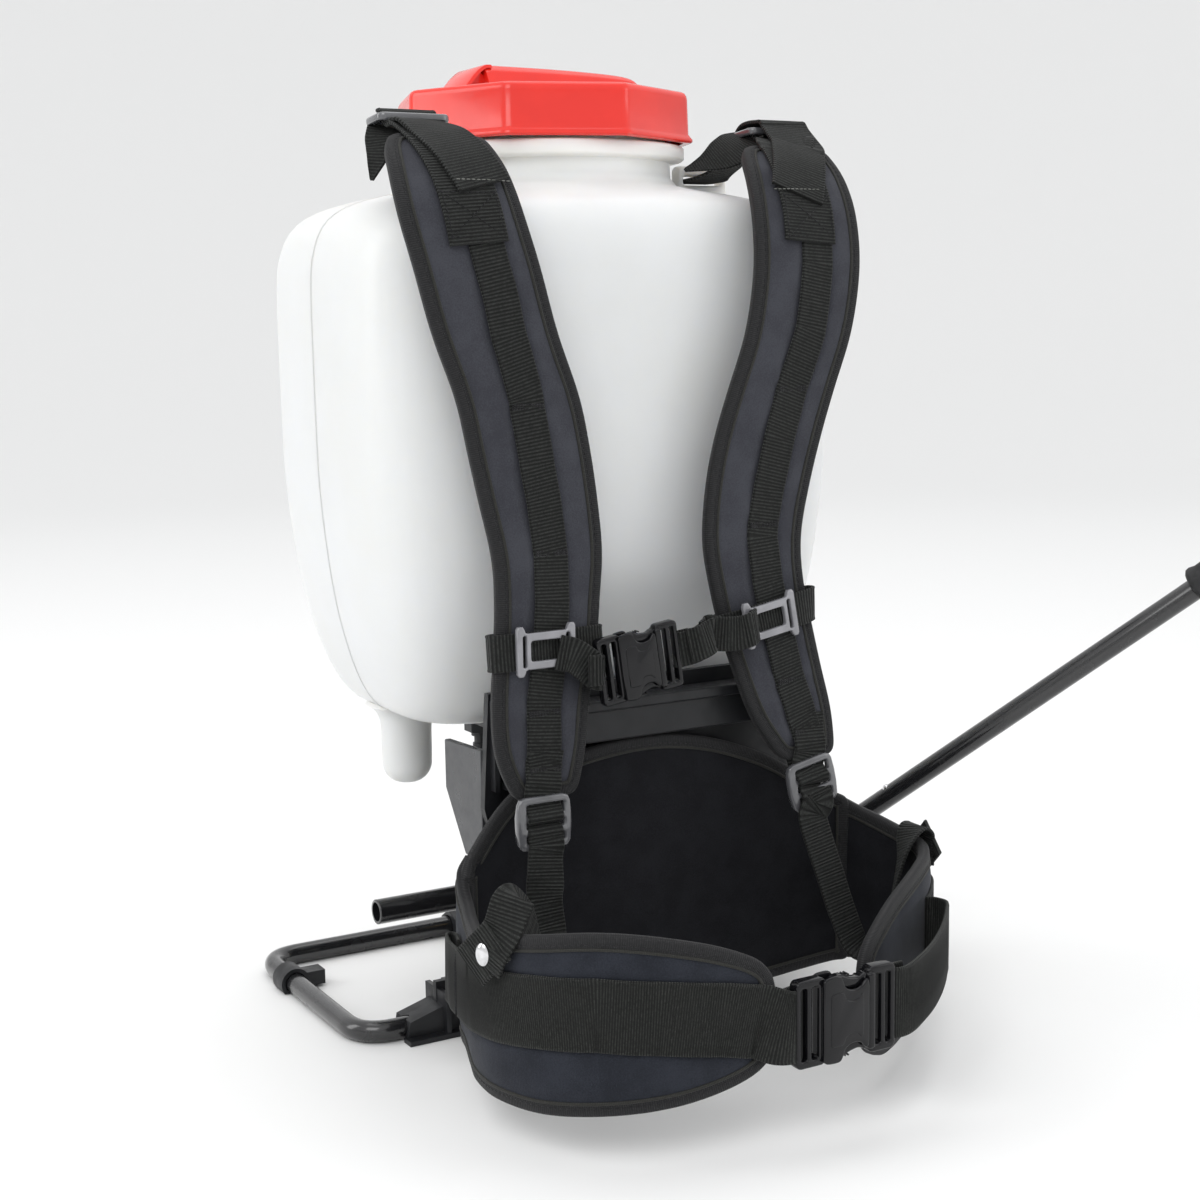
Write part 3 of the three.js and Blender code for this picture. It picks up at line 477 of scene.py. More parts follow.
def make_camera():
    az, down, roll = (math.radians(a) for a in (CAMERA_AZIMUTH, CAMERA_DOWN, CAMERA_ROLL))
    ahead = Vector((-math.sin(az) * math.cos(down), math.cos(az) * math.cos(down), -math.sin(down)))
    right = Vector((math.cos(az), math.sin(az), 0))
    up = right.cross(ahead)
    turned_right = right * math.cos(roll) + up * math.sin(roll)
    turned_up = up * math.cos(roll) - right * math.sin(roll)
    data = bpy.data.cameras.new("camera")
    data.lens = CAMERA_LENS
    data.sensor_width = 36
    data.clip_end = 50
    camera = bpy.data.objects.new("camera", data)
    axes = Matrix((turned_right, turned_up, -ahead)).transposed().to_4x4()
    camera.matrix_world = Matrix.Translation(Vector(CAMERA_AT) * MM) @ axes
    bpy.context.scene.collection.objects.link(camera)
    bpy.context.scene.camera = camera


def lamp(name, place_at, target, size, power):
    data = bpy.data.lights.new(name, "AREA")
    data.shape = "RECTANGLE"
    data.size, data.size_y = size
    data.energy = power
    obj = bpy.data.objects.new(name, data)
    aim = Vector(target) - Vector(place_at)
    obj.matrix_world = Matrix.Translation(place_at) @ aim.to_track_quat("-Z", "Y").to_matrix().to_4x4()
    bpy.context.scene.collection.objects.link(obj)


def make_stage():
    """A pale floor that curves up far behind the object, lit softly from all sides."""
    f = Finish("studio_floor", (0.86, 0.86, 0.855), 0.7)
    f.bump(f.noise(30, 2), 0.1, 0.1)
    profile = [[0, 0, 0], [2500, 0, 0], [4500, 0, 0], [6200, 500, 0], [7400, 1700, 0], [7900, 3300, 0]]
    bowl = through(profile, 40)[:, :2]
    mesh = mesh_of(*revolve(np.vstack([bowl, bowl[::-1] + [1.0, -1.0]]), 96))
    mesh.shade_smooth()
    floor = bpy.data.objects.new("floor", mesh)
    mesh.materials.append(f.material)
    bpy.context.scene.collection.objects.link(floor)
    floor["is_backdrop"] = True
    world = bpy.data.worlds.new("studio")
    world.use_nodes = True
    world.node_tree.nodes["Background"].inputs["Color"].default_value = (0.985, 0.99, 1.0, 1)
    world.node_tree.nodes["Background"].inputs["Strength"].default_value = 0.97
    bpy.context.scene.world = world
    bpy.context.scene.view_settings.view_transform = "Standard"
    lamp("key", (-1.5, -1.5, 2.1), (0, 0, 0.3), (1.4, 1.4), 18)
    lamp("rim_left", (-1.9, 0.7, 1.2), (0, 0, 0.25), (0.7, 1.8), 11)
    lamp("top", (0.3, 0.3, 2.6), (0, 0, 0.2), (1.8, 1.8), 12)
    lamp("fill_right", (1.7, -1.5, 0.9), (0, -0.1, 0.2), (1.0, 1.4), 7)


# ------------------------------------------------------------------ tank and lid
TANK_W, TANK_D, TANK_BACK = 308, 208, 10
NECK_R = 74
NECK_TOP = 531
WALL = 3
BELLY = [
    [0, 176], [60, 176], [96, 176], [112, 178.5], [122, 184], [130, 195], [137, 212], [144, 238], [149, 268],
    [153, 310], [154, 350], [154, 425], [151, 447], [144, 461], [131, 470], [112, 476], [92, 480],
    [80, 483.5],
    [77, 488],
]
SUMP = [[0, 132], [9, 134.5], [14.2, 141], [15, 152], [15.5, 170], [19, 178], [24, 181]]
LID_TURN = math.radians(-18)


def squared(r, z, angle, inset=0.0):
    """The tank's rounded rectangle at a height, as in the CAD: round again at the neck."""
    shoulder = np.clip((r + inset - 80) / (TANK_W / 2 - 80), 0, 1)
    square = shoulder if z > 440 else min(1.0, (r + inset) / 96)
    n = 2 + 2.6 * square
    c, s = np.cos(angle), np.sin(angle)
    stretch = (np.abs(c) ** n + np.abs(s) ** n) ** (-1 / n)
    depth = r - (TANK_W - TANK_D) / 2 * square
    return np.stack([r * c * stretch, depth * s * stretch - TANK_BACK * square, np.full_like(angle, z)], 1)


def smooth_profile(points):
    """More points along a [radius, height] profile, on a smooth line."""
    p = np.asarray(points, float)
    rows = through(np.column_stack([p, np.zeros(len(p))]), len(p) * 4)[:, :2]
    return np.maximum(rows, [0, 0])


def helix_thread(radius, z0, z1, turns):
    """A rounded thread ridge round the neck."""
    half, depth = 1.5, 1.6
    a = np.linspace(0, turns * TAU, int(turns * 72))
    lift = np.clip(np.minimum(a, a[-1] - a) / 0.5, 0, 1)
    route = np.stack([radius * np.cos(a), radius * np.sin(a), np.linspace(z0, z1, len(a))], 1)
    facing = np.stack([np.cos(a), np.sin(a), np.zeros_like(a)], 1)
    ridge = np.array([[-half - 1, -0.6], [-half, 0], [-half * 0.4, depth], [half * 0.4, depth], [half, 0],
                      [half + 1, -0.6]])
    return sweep(route, facing, lambda i: ridge * [1, max(lift[i], 0.05)])


def make_tank():
    """Blow-moulded shell: belly, round shoulder, collar and threaded neck, open at the top."""
    angle = np.arange(128) * TAU / 128
    belly = smooth_profile(BELLY)
    collar = [[76.6, 496.4], [78.5, 497.6], [83, 498.2], [84, 499.2], [84, 505], [83, 506], [76, 506.8],
              [NECK_R, 508.5], [NECK_R, NECK_TOP - 1], [NECK_R - 1, NECK_TOP]]
    mouth = [[NECK_R - 3.5, NECK_TOP], [NECK_R - 4.5, NECK_TOP - 1], [NECK_R - 4.5, 497]]
    outer = [squared(r, z, angle) for r, z in [*belly, *collar]]
    lip = [squared(r, z, angle) for r, z in mouth]
    inner = []
    for r, z in belly[::-1]:
        floor = WALL * max(0.0, 1 - (z - 176) / 30)
        roof = WALL * max(0.0, 1 - (480 - z) / 40)
        inner.append(squared(max(r - WALL, 0), z + floor - min(roof, WALL), angle, WALL))
    points, faces = loft([*outer, *lip, *inner], caps=False)
    shell = link("tank_shell", mesh_of(points, faces), HDPE, "tank", "frame", 60)
    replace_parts(shell, "tank")
    ridge = mesh_of(*helix_thread(NECK_R - 0.2, 511, 526, 2.2))
    threads = link("tank_neck_thread", ridge, HDPE, "tank", "frame")
    threads.parent = shell
    parting = squared_seam()
    parting.parent = shell
    for side, word in ((-1, "left"), (1, "right")):
        sump = smooth_profile(SUMP)
        inside = sump[::-1] + [-2.5, 2.0]
        points, faces = revolve(np.vstack([sump, np.maximum(inside, [0, 0])]), 48, (side * 100, 0, 0))
        link("tank_sump_" + word, mesh_of(points, faces), HDPE, "tank", "frame", 60)
        slot = rounded_rectangle(28, 5.5, 2, centre=(0, 3))
        lug = plate_mesh(rounded_rectangle(34, 24, 4), [slot], 10, 1.4)
        place(lug, (side * 93, -29, 485), X_AXIS, Z_AXIS)
        link("tank_lug_" + word, lug, HDPE, "tank", "frame")


def squared_seam():
    """The faint parting line that the two halves of the mould leave round the tank."""
    belly = smooth_profile(BELLY)[8:]
    rails = []
    for side in (0.0, math.pi):
        rows = [squared(r, z, np.array([side]))[0] for r, z in belly]
        rails.append(np.array(rows if side == 0.0 else rows[::-1]))
    points, faces = [], []
    for rail in rails:
        facing = unit(rail - [0, rail[:, 1].mean(), 330])
        section = np.array([[-1.1, -0.4], [-0.5, 0.35], [0.5, 0.35], [1.1, -0.4]])
        p, q = sweep(evenly(rail, 160), evenly(facing, 160), section)
        faces += [tuple(i + sum(map(len, points)) for i in face) for face in q]
        points.append(p)
    return link("tank_parting_line", mesh_of(np.concatenate(points), faces), HDPE, "tank", "frame")


def octagon(r, z, corner):
    """Eight sides with round corners; r is the radius over the sharp corners."""
    corners = [np.array([math.cos(a), math.sin(a)]) * r for a in (np.arange(8) + 0.5) * TAU / 8]
    points = []
    for i, c in enumerate(corners):
        before, after = corners[i - 1], corners[(i + 1) % 8]
        reach = corner * math.tan(math.pi / 8)
        a, b = c + unit(before - c) * reach, c + unit(after - c) * reach
        for t in np.linspace(0, 1, 7):
            points.append((1 - t) ** 2 * a + 2 * t * (1 - t) * c + t**2 * b)
    flat = np.array(points)
    return np.column_stack([flat, np.full(len(flat), float(z))])


LID_R, LID_CEILING, LID_FACE = 90.4, 533.2, 535.8


def make_lid():
    """Octagonal screw lid: flared lip, tapered sides, round top edge, dished top and grip bar."""
    r = LID_R
    outside = [(r - 4.2, 507.6), (r + 0.8, 507.6), (r + 1.6, 508.3), (r + 1.5, 509.6), (r + 0.4, 511),
               (r - 0.9, 512.6),
               (r - 1.5, 532.5), (r - 1.9, 534.6), (r - 2.9, 536.2), (r - 4.4, 537), (r - 7, 537.1),
               (r - 9, 536.4),
               (40, 535.9), (8, LID_FACE)]
    inside = [(8, LID_CEILING), (r - 6, LID_CEILING), (r - 4.6, 531.5), (r - 4.2, 512)]
    rings = [octagon(rr, z, 9 if rr > 40 else 2) for rr, z in [*outside, *inside]]
    points, faces = loft(rings, closed=True)
    turn = Matrix.Rotation(LID_TURN, 4, "Z")
    shell = mesh_of(points, faces)
    shell.transform(turn)
    cap = link("lid_shell", shell, RED, "lid", "lid_cap", 50)
    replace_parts(cap, "lid")
    plug = mesh_of(*revolve([[0, LID_CEILING], [8.4, LID_CEILING], [8.4, LID_FACE], [0, LID_FACE]], 32))
    core = [mesh_of(*part) for part in grip_bar()]
    grip = joined([plug, *core])
    link("lid_grip", grip, RED, "lid", "lid_cap", 35)
    face = (r - 4.4) * math.cos(math.pi / 8)
    section = np.array([[-0.8, -0.5], [0.8, -0.5], [0.5, 1.0], [-0.5, 1.0]])
    grips = []
    for a in np.arange(8) * TAU / 8:
        out, side = np.array([math.cos(a), math.sin(a), 0]), np.array([-math.sin(a), math.cos(a), 0])
        for step in (-22, -11, 0, 11, 22):
            rib = np.array([out * face + side * step + Z_AXIS * z for z in (511, 518, 532)])
            grips.append(mesh_of(*sweep(rib, -out, section)))
    ribs = joined(grips)
    ribs.transform(turn)
    link("lid_inner_ribs", ribs, RED, "lid", "lid_cap")


GRIP_LEFT, GRIP_RIGHT = -60, 60
GRIP_BASE, GRIP_TOP = 536, 551.5


def grip_bar():
    """The lid's bar: a hollow wedge with a sloping near face and a ramped, rolled lip at its left end."""
    stations = [(GRIP_LEFT + 13, 0.90), (GRIP_LEFT + 17, 0.99), (GRIP_LEFT + 22, 1.0), (0, 0.98), (34, 0.90),
                (49, 0.78),
                (54, 0.55), (GRIP_RIGHT, 0.05)]
    rings = []
    for x, tall in through([(x, 0, 0, t) for x, t in stations], 70)[:, [0, 3]]:
        h = (GRIP_TOP - GRIP_BASE) * tall
        front, back = -29, 23
        ring = [(front, -1.5), (front + 6.5 * tall, h * 0.74), (front + 8.5 * tall, h - 1.3),
                (front + 11 * tall, h),
                (back - 9 * tall, h), (back - 6 * tall, h - 1.6), (back - 3 * tall, h * 0.6), (back, -1.5)]
        rings.append(np.array([(x, y, GRIP_BASE + z) for y, z in ring]))
    yield loft(rings)
    lip = [(GRIP_LEFT + 17, 550.6), (GRIP_LEFT + 13, 550.2), (GRIP_LEFT + 8, 546.6), (GRIP_LEFT + 3, 541),
           (GRIP_LEFT, 536.6)]
    wide = np.array([[-20, -0.9], [-19.4, 0.9], [-18, 1.2], [14, 1.2], [15.4, 0.9], [16, -0.9]])
    yield sweep(through([(x, -2, z) for x, z in lip], 24), np.array([-0.7, 0, 0.7]), wide)
    thin = np.array([[-0.7, -3], [0.7, -3], [0.7, 6], [-0.7, 6]])
    for y in (-18, -6, 6):
        rib = [(GRIP_LEFT + 12, 546.5), (GRIP_LEFT + 8, 542), (GRIP_LEFT + 5, 538), (GRIP_LEFT + 4, 536)]
        yield sweep(through([(x, y, z) for x, z in rib], 12), X_AXIS, thin)


# ------------------------------------------------------------------ tubes
FOOT_X, FOOT_FRONT, FOOT_REAR = 162, -65, 91
TUBE_R, TUBE_BORE = 6.25, 4.8
BEND_REACH = 22
SHAFT_Y, SHAFT_Z = -47, 71
LEVER_FROM = np.array([186.0, -47, 70])
LEVER_WAY = unit(np.array([0.44, -0.66, 0.61]))
LEVER_LENGTH = 400


def bend(before, corner, after, steps=16):
    t = np.linspace(0, 1, steps)[:, None]
    return (1 - t) ** 2 * before + 2 * t * (1 - t) * corner + t**2 * after


def hollow_tube(route, normal, r, bore, sides=28):
    """Outer and inner walls of a pipe, with round lips where it is open."""
    normal = np.broadcast_to(normal, route.shape)
    t = unit(np.gradient(route, axis=0))
    side = unit(np.cross(t, normal))
    walls = [(0, r - 0.3, 0.0), *[(i, r, 0.0) for i in range(len(route))], (-1, r - 0.3, 0.0)]
    walls[1] = (0, r, 0.35)
    walls[-2] = (-1, r, -0.35)
    inner = [(i, bore, 0.0) for i in range(len(route) - 1, -1, -1)]
    rings = []
    for i, radius, slip in [*walls, *inner]:
        c = circle(radius, sides)
        rings.append(route[i] + t[i] * slip + c[:, :1] * side[i] + c[:, 1:] * normal[i])
    return loft(rings, closed=True)


def make_foot_loop():
    def at(x, y):
        return np.array([x, y, TUBE_R])

    def corner(x, y, first, second):
        first, second = np.array([*first, 0]) * BEND_REACH, np.array([*second, 0]) * BEND_REACH
        return bend(at(x, y) - first, at(x, y), at(x, y) + second)

    route = np.vstack([
        at(-16, FOOT_FRONT),
        corner(-FOOT_X, FOOT_FRONT, (-1, 0), (0, 1)), corner(-FOOT_X, FOOT_REAR, (0, 1), (1, 0)),
        corner(FOOT_X, FOOT_REAR, (1, 0), (0, -1)), corner(FOOT_X, FOOT_FRONT, (0, -1), (-1, 0)),
        at(16, FOOT_FRONT),
    ])
    mesh = mesh_of(*hollow_tube(route, Z_AXIS, TUBE_R, TUBE_BORE))
    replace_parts(link("foot_loop", mesh, PAINT, "steel_tube", "frame", 50), "foot_tube")


def make_shaft_and_lever():
    ends = np.array([(x, SHAFT_Y, SHAFT_Z) for x in (-143, -142.3, 145.3, 146)], float)
    mesh = mesh_of(*hollow_tube(ends, Z_AXIS, 7.2, 5.6, 40))
    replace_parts(link("shaft_tube_round", mesh, PAINT, "steel_tube", "lever", 50), "shaft_tube")
    start = np.array([146.5, SHAFT_Y, SHAFT_Z])
    elbow = bend(np.array([166.0, SHAFT_Y, SHAFT_Z]), LEVER_FROM, LEVER_FROM + 22 * LEVER_WAY)
    route = np.vstack([start, elbow, LEVER_FROM + LEVER_LENGTH * LEVER_WAY])
    tube = mesh_of(*hollow_tube(route, unit(np.cross(X_AXIS, LEVER_WAY)), 6.6, 5.2, 36))
    profile = [[7.5, 0], [9.1, 0], [9.4, 0.4], [9.4, 27.2], [8.6, 28], [6.7, 28], [6.7, 22.3], [7.5, 22.3]]
    sleeve = mesh_of(*revolve(profile, 48, (124, SHAFT_Y, SHAFT_Z), X_AXIS))
    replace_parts(link("lever_bar", joined([tube, sleeve]), PAINT, "steel_tube", "lever", 50), "lever_tube")
    rings = [[6.9, 0], [10.4, 0], [12.2, 1.5], [12.5, 3.5], [11.5, 7]]
    for k in range(11):
        at = 12 + k * 9.4
        rings += [[11.6, at], [12.5, at + 1.5], [12.6, at + 4.2], [11.6, at + 6]]
    rings += [[12.0, 117], [12.8, 120], [12.2, 123.5], [9, 126.3], [4, 127], [0, 127], [0, 125], [6.9, 119]]
    grip = mesh_of(*revolve(rings, 48, LEVER_FROM + (LEVER_LENGTH - 118) * LEVER_WAY, LEVER_WAY))
    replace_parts(link("lever_grip_ribbed", grip, RUBBER, "grip", "lever", 50), "lever_grip")
    out = unit(np.array([0, -6, 20.0]))
    button = mesh_of(*revolve([[0, -1.4], [2.8, -1.4], [2.8, 8.2], [2.5, 9.3], [1.6, 10.1], [0, 10.4]], 32,
                              LEVER_FROM + 40 * LEVER_WAY, out))
    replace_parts(link("lever_snap_button", button, STEEL, "button", "button"), "lever_button")


# ------------------------------------------------------------------ CAD pieces with softened edges
SOFTENED = {
    "carrier_plate": (BLACK, "carrier", 0.8),
    "crossbar": (BLACK, "carrier", 1.2),
    "tank_cradle": (BLACK, "carrier", 0.8),
    # The side plates' grey is painted light on black moulding.
    "side_plate_left": (LIT_FACE_GREY, "side_plate", 0.7),
    "side_plate_right": (LIT_FACE_GREY, "side_plate", 0.7),
    "bush_left": (BUSHING, "bush", 0.4),
    "bush_right": (BUSHING, "bush", 0.4),
    "foot_bridge": (BLACK, "carrier", 0.7),
    "foot_bracket_left": (BLACK, "carrier", 0.6),
    "foot_bracket_right": (BLACK, "carrier", 0.6),
    "foot_clip_left": (BLACK, "carrier", 0.6),
    "foot_clip_right": (BLACK, "carrier", 0.6),
    "filler_strainer": (BLACK, "strainer", 0.5),
    "crank_arm": (PAINT, "crank", 0.5),
    "crank_pin": (BRASS, "pin", 0.4),
    "pump_rod": (BRASS, "pin", 0.4),
    "piston": (BLACK, "piston", 0.4),
    "piston_seal": (RUBBER, "rubber", 0.3),
    "pump_cylinder": (CYLINDER, "cylinder", 0.5),
    "pump_head": (BLACK, "pump_body", 0.5),
    "inlet_valve": (RUBBER, "rubber", 0.2),
    "outlet_valve": (RUBBER, "rubber", 0.2),
    "pressure_chamber": (BLACK, "pump_body", 0.6),
    "outlet_elbow": (BLACK, "outlet", 0.4),
    "outlet_nut": (BLACK, "outlet", 0.6),
    "lid_gasket": (RUBBER, "rubber", 0.3),
    "lid_vent": (RUBBER, "rubber", 0.2),
}


def body_of_node(node):
    return next(body for body, nodes in frame["record"]["behaviour"]["bodies"].items() if node in nodes)


def soften(node, material, slot, width):
    """A copy of a CAD piece with its facets merged and its edges rounded."""
    mesh = frame["nodes"][node].data.copy()
    bm = bmesh.new()
    bm.from_mesh(mesh)
    bmesh.ops.remove_doubles(bm, verts=bm.verts, dist=1e-5)
    bmesh.ops.dissolve_limit(bm, angle_limit=math.radians(1), verts=bm.verts, edges=bm.edges)
    bm.to_mesh(mesh)
    bm.free()
    piece = link(node + "_finished", mesh, material, slot, body_of_node(node), 35)
    bevel(piece, width)
    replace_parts(piece, node)


# ------------------------------------------------------------------ curved sheets that the soft goods follow
def lengths_along(line):
    return np.concatenate([[0], np.cumsum(np.linalg.norm(np.diff(line[:, :3], axis=0), axis=1))])


def smooth(values, window):
    """Moving average with soft ends, along a list."""
    w = np.hanning(window + 2)[1:-1]
    edge = window // 2
    padded = np.concatenate([np.repeat(values[:1], edge), values, np.repeat(values[-1:], edge)])
    return np.convolve(padded, w / w.sum(), "valid")[:len(values)]


class Sheet:
    """The middle surface of a pad: u runs along it, v is the place on its free axis, lift stands off it."""

    def __init__(self, rows, axis, side=1):
        line = through(rows, 260)
        self.axis, self.side = axis, side
        self.line, self.low, self.high = line[:, :3], line[:, 3], line[:, 4]
        self.s = lengths_along(self.line)
        self.length = self.s[-1]
        self.tangents = unit(np.gradient(self.line, axis=0))
        self.normals = side * unit(np.cross(self.tangents, axis))

    def rows_at(self, u, table):
        return np.stack([np.interp(u, self.s, table[:, k]) for k in range(3)], -1)

    def normal(self, u):
        return unit(self.rows_at(u, self.normals))

    def at(self, u, v, lift=0.0):
        u, v, lift = np.broadcast_arrays(np.asarray(u, float), v, lift)
        return self.rows_at(u, self.line) + v[..., None] * self.axis + lift[..., None] * self.normal(u)

    def u_at_height(self, z):
        """Where a strap that runs downwards passes a height."""
        return np.interp(-np.asarray(z, float), -self.line[:, 2], self.s)

    def read(self, points):
        """u, v and lift of points near the sheet."""
        v = points @ self.axis
        flat = points - v[:, None] * self.axis
        parts = np.array_split(flat, len(flat) // 1500 + 1)
        near = np.concatenate([((p[:, None] - self.line) ** 2).sum(-1).argmin(1) for p in parts])
        off = flat - self.line[near]
        return self.s[near] + (off * self.tangents[near]).sum(1), v, (off * self.normals[near]).sum(1)


def round_outline(sheet, corners, step=1.5):
    """The pad's edge as a closed loop of (u, v), rounded at its start and at its end by corners."""
    low = np.column_stack([sheet.s, sheet.low])[::-1]
    loop = np.vstack([np.column_stack([sheet.s, sheet.high]), low, [[0, sheet.high[0]]]])
    loop = np.column_stack([loop, np.zeros(len(loop))])
    even = evenly(loop, int(lengths_along(loop)[-1] / step) + 1)[:-1, :2]
    rounded = []
    for corner in corners:
        reach = int(corner / step)
        window = np.hanning(2 * reach + 3)[1:-1]
        wrapped = np.concatenate([even[-reach:], even, even[:reach]])
        weights = window / window.sum()
        rounded.append(np.stack([np.convolve(wrapped[:, k], weights, "valid") for k in (0, 1)], 1))
    share = np.clip(even[:, :1] / sheet.length * 3 - 1, 0, 1)
    return rounded[0] * (1 - share) + rounded[1] * share


def bound_runs(sheet, outline, joints):
    """The stretches of the outline that have tape: all of it, or all but the ends where two pads join."""
    start, end = joints
    keep = (outline[:, 0] > 4 * start) & (outline[:, 0] < sheet.length - 4 * end) | (not start and not end)
    if keep.all():
        return [outline]
    first = int(np.flatnonzero(keep & ~np.roll(keep, 1))[0])
    loop, keep = np.roll(outline, -first, 0), np.roll(keep, -first)
    changes = np.flatnonzero(np.diff(keep.astype(int))) + 1
    return [part for part, kept in zip(np.split(loop, changes), np.split(keep, changes)) if kept[0]]


def inset(outline, depth):
    """The outline moved inwards."""
    t = unit(np.roll(outline, -1, 0) - np.roll(outline, 1, 0))
    return outline + depth * np.stack([t[:, 1], -t[:, 0]], 1)


def gap_to(outline, uv):
    """Distance of each (u, v) point to the outline."""
    parts = np.array_split(uv, len(uv) // 1500 + 1)
    return np.concatenate([np.sqrt(((p[:, None] - outline) ** 2).sum(-1).min(1)) for p in parts])


HEM, HEM_HALF = 6.0, 2.4


def pad_mesh(sheet, outline, half, roll):
    """A closed pad, thin at its hem and rounded up to its full thickness a short way in."""
    loop = np.roll(outline, -outline[:, 0].argmin(), 0)
    turn = loop[:, 0].argmax()
    edges = loop[:turn + 1], np.vstack([loop[turn:], loop[:1]])[::-1]
    t = np.linspace(0, 1, 150)
    u = loop[0, 0] + (loop[turn, 0] - loop[0, 0]) * (0.65 * t + 0.35 * (1 - np.cos(math.pi * t)) / 2)
    high, low = (np.interp(u, np.maximum.accumulate(e[:, 0]), e[:, 1]) for e in edges)
    across = np.sin(np.linspace(-math.pi / 2, math.pi / 2, 24))
    v = (high + low)[:, None] / 2 + (high - low)[:, None] / 2 * across
    uu = np.broadcast_to(u[:, None], v.shape)
    gap = gap_to(outline, np.stack([uu, v], -1).reshape(-1, 2)).reshape(v.shape)
    rise = np.clip((gap - HEM) / roll, 0, 1)
    h = HEM_HALF + (half - HEM_HALF) * np.sqrt(1 - (1 - rise) ** 2)
    front, back = sheet.at(uu, v, h), sheet.at(uu, v, -h)[:, ::-1]
    return mesh_of(*loft(np.concatenate([front, back], 1)))


def coordinates(mesh):
    """Vertex places in millimetres."""
    flat = np.empty(len(mesh.vertices) * 3, np.float32)
    mesh.vertices.foreach_get("co", flat)
    return flat.reshape(-1, 3).astype(float) / MM


def set_coordinates(mesh, points):
    mesh.vertices.foreach_set("co", (points * MM).astype(np.float32).ravel())
    mesh.update()


SWELL_VOXEL, SWELL_FRAMES, SWELL_CAP = 3.4, 20, 3.0


def inflate(mesh, sheet, outline):
    """Swells a pad between its hems with a short cloth simulation, then caps how far each point moved."""
    obj = bpy.data.objects.new("swelling_pad", mesh)
    scene = bpy.context.scene
    scene.collection.objects.link(obj)
    remesh = obj.modifiers.new("even_faces", "REMESH")
    remesh.mode = "VOXEL"
    remesh.voxel_size = SWELL_VOXEL * MM
    bake_modifiers(obj)
    start = coordinates(obj.data)
    u, v, _ = sheet.read(start)
    held = obj.vertex_groups.new(name="held")
    edge = np.flatnonzero(gap_to(outline, np.stack([u, v], 1)) < HEM + 1.5)
    held.add([int(i) for i in edge], 1.0, "REPLACE")
    cloth = obj.modifiers.new("cloth", "CLOTH")
    cloth.settings.use_pressure = True
    cloth.settings.uniform_pressure_force = 4
    cloth.settings.effector_weights.gravity = 0
    cloth.settings.vertex_group_mass = "held"
    cloth.point_cache.frame_start = 1
    cloth.point_cache.frame_end = SWELL_FRAMES
    for step in range(1, SWELL_FRAMES + 1):
        scene.frame_set(step)
    swollen = bpy.data.meshes.new_from_object(obj.evaluated_get(bpy.context.evaluated_depsgraph_get()))
    obj.modifiers.clear()
    scene.frame_set(1)
    move = coordinates(swollen) - start
    far = np.linalg.norm(move, axis=1, keepdims=True)
    set_coordinates(obj.data, start + move * np.minimum(1, SWELL_CAP / np.maximum(far, 1e-6)))
    obj.modifiers.new("finer", "SUBSURF").levels = 1
    bake_modifiers(obj)
    mesh = obj.data
    bpy.data.objects.remove(obj)
    return mesh


def press(mesh, sheet, depth_at):
    """Sinks the outer face of a pad where something is sewn through it."""
    points = coordinates(mesh)
    u, v, lift = sheet.read(points)
    outer = np.clip(lift / 2.5, 0, 1)
    set_coordinates(mesh, points - (depth_at(u, v) * outer)[:, None] * sheet.normal(u))


def padded_piece(name, sheet, corners, half, roll, look, slot, node, depth_at=None, joints=(False, False)):
    """One padded part: inflated, pressed in where it is sewn, bound round its edge with tape."""
    outline = round_outline(sheet, corners)
    mesh = pad_mesh(sheet, outline, half, roll)
    mesh = inflate(mesh, sheet, outline)
    if depth_at:
        press(mesh, sheet, depth_at)
    pad = link(name, mesh, look, slot, "frame", 70)
    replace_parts(pad, node)
    bind(name, sheet, bound_runs(sheet, outline, joints), slot)
    return pad, Face(sheet, mesh)


BINDING = np.array([[5.6, -2.4], [5.6, -3.25], [4.5, -3.4], [3.9, -3.15], [3.3, -3.4], [0.6, -3.2],
                    [-0.5, -2.2], [-0.8, 0]])
RIDGE = np.array([[5.5, -2.3], [5.5, -3.5], [5.9, -3.9], [6.6, -3.95], [7.1, -3.6], [7.3, -2.3]])


def mirrored(half):
    """A section closed by its mirror image on the other face."""
    twin = half[half[:, 1] < 0][::-1] * [1, -1]
    return np.vstack([half, twin])


def bind(name, sheet, runs, slot):
    """Edge tape folded over the hem, the piping-like ridge inside it, and the stitches that hold it."""
    turn = np.array([sheet.side, 1])
    closed = len(runs) == 1 and np.linalg.norm(runs[0][0] - runs[0][-1]) < 4
    tapes, ridges, seams = [], [], []
    for run in runs:
        route, facing = sheet.at(run[:, 0], run[:, 1]), sheet.normal(run[:, 0])
        tapes.append(ribbon_mesh(route, facing, mirrored(BINDING) * turn, closed))
        seam = inset(run, 3.9)[1:-1]
        for face in (1, -1):
            ridges.append(ribbon_mesh(route, facing, RIDGE * [1, -face] * turn, closed))
            places = sheet.at(seam[:, 0], seam[:, 1], 3.3 * face)
            seams.append(np.column_stack([places, sheet.normal(seam[:, 0]) * face]))
    link(name + "_binding", joined(tapes), TAPE, slot, "frame", 50)
    link(name + "_ridge", joined(ridges), CORD, slot, "frame", 60)
    sew(name + "_stitches", seams, slot, 3.4)


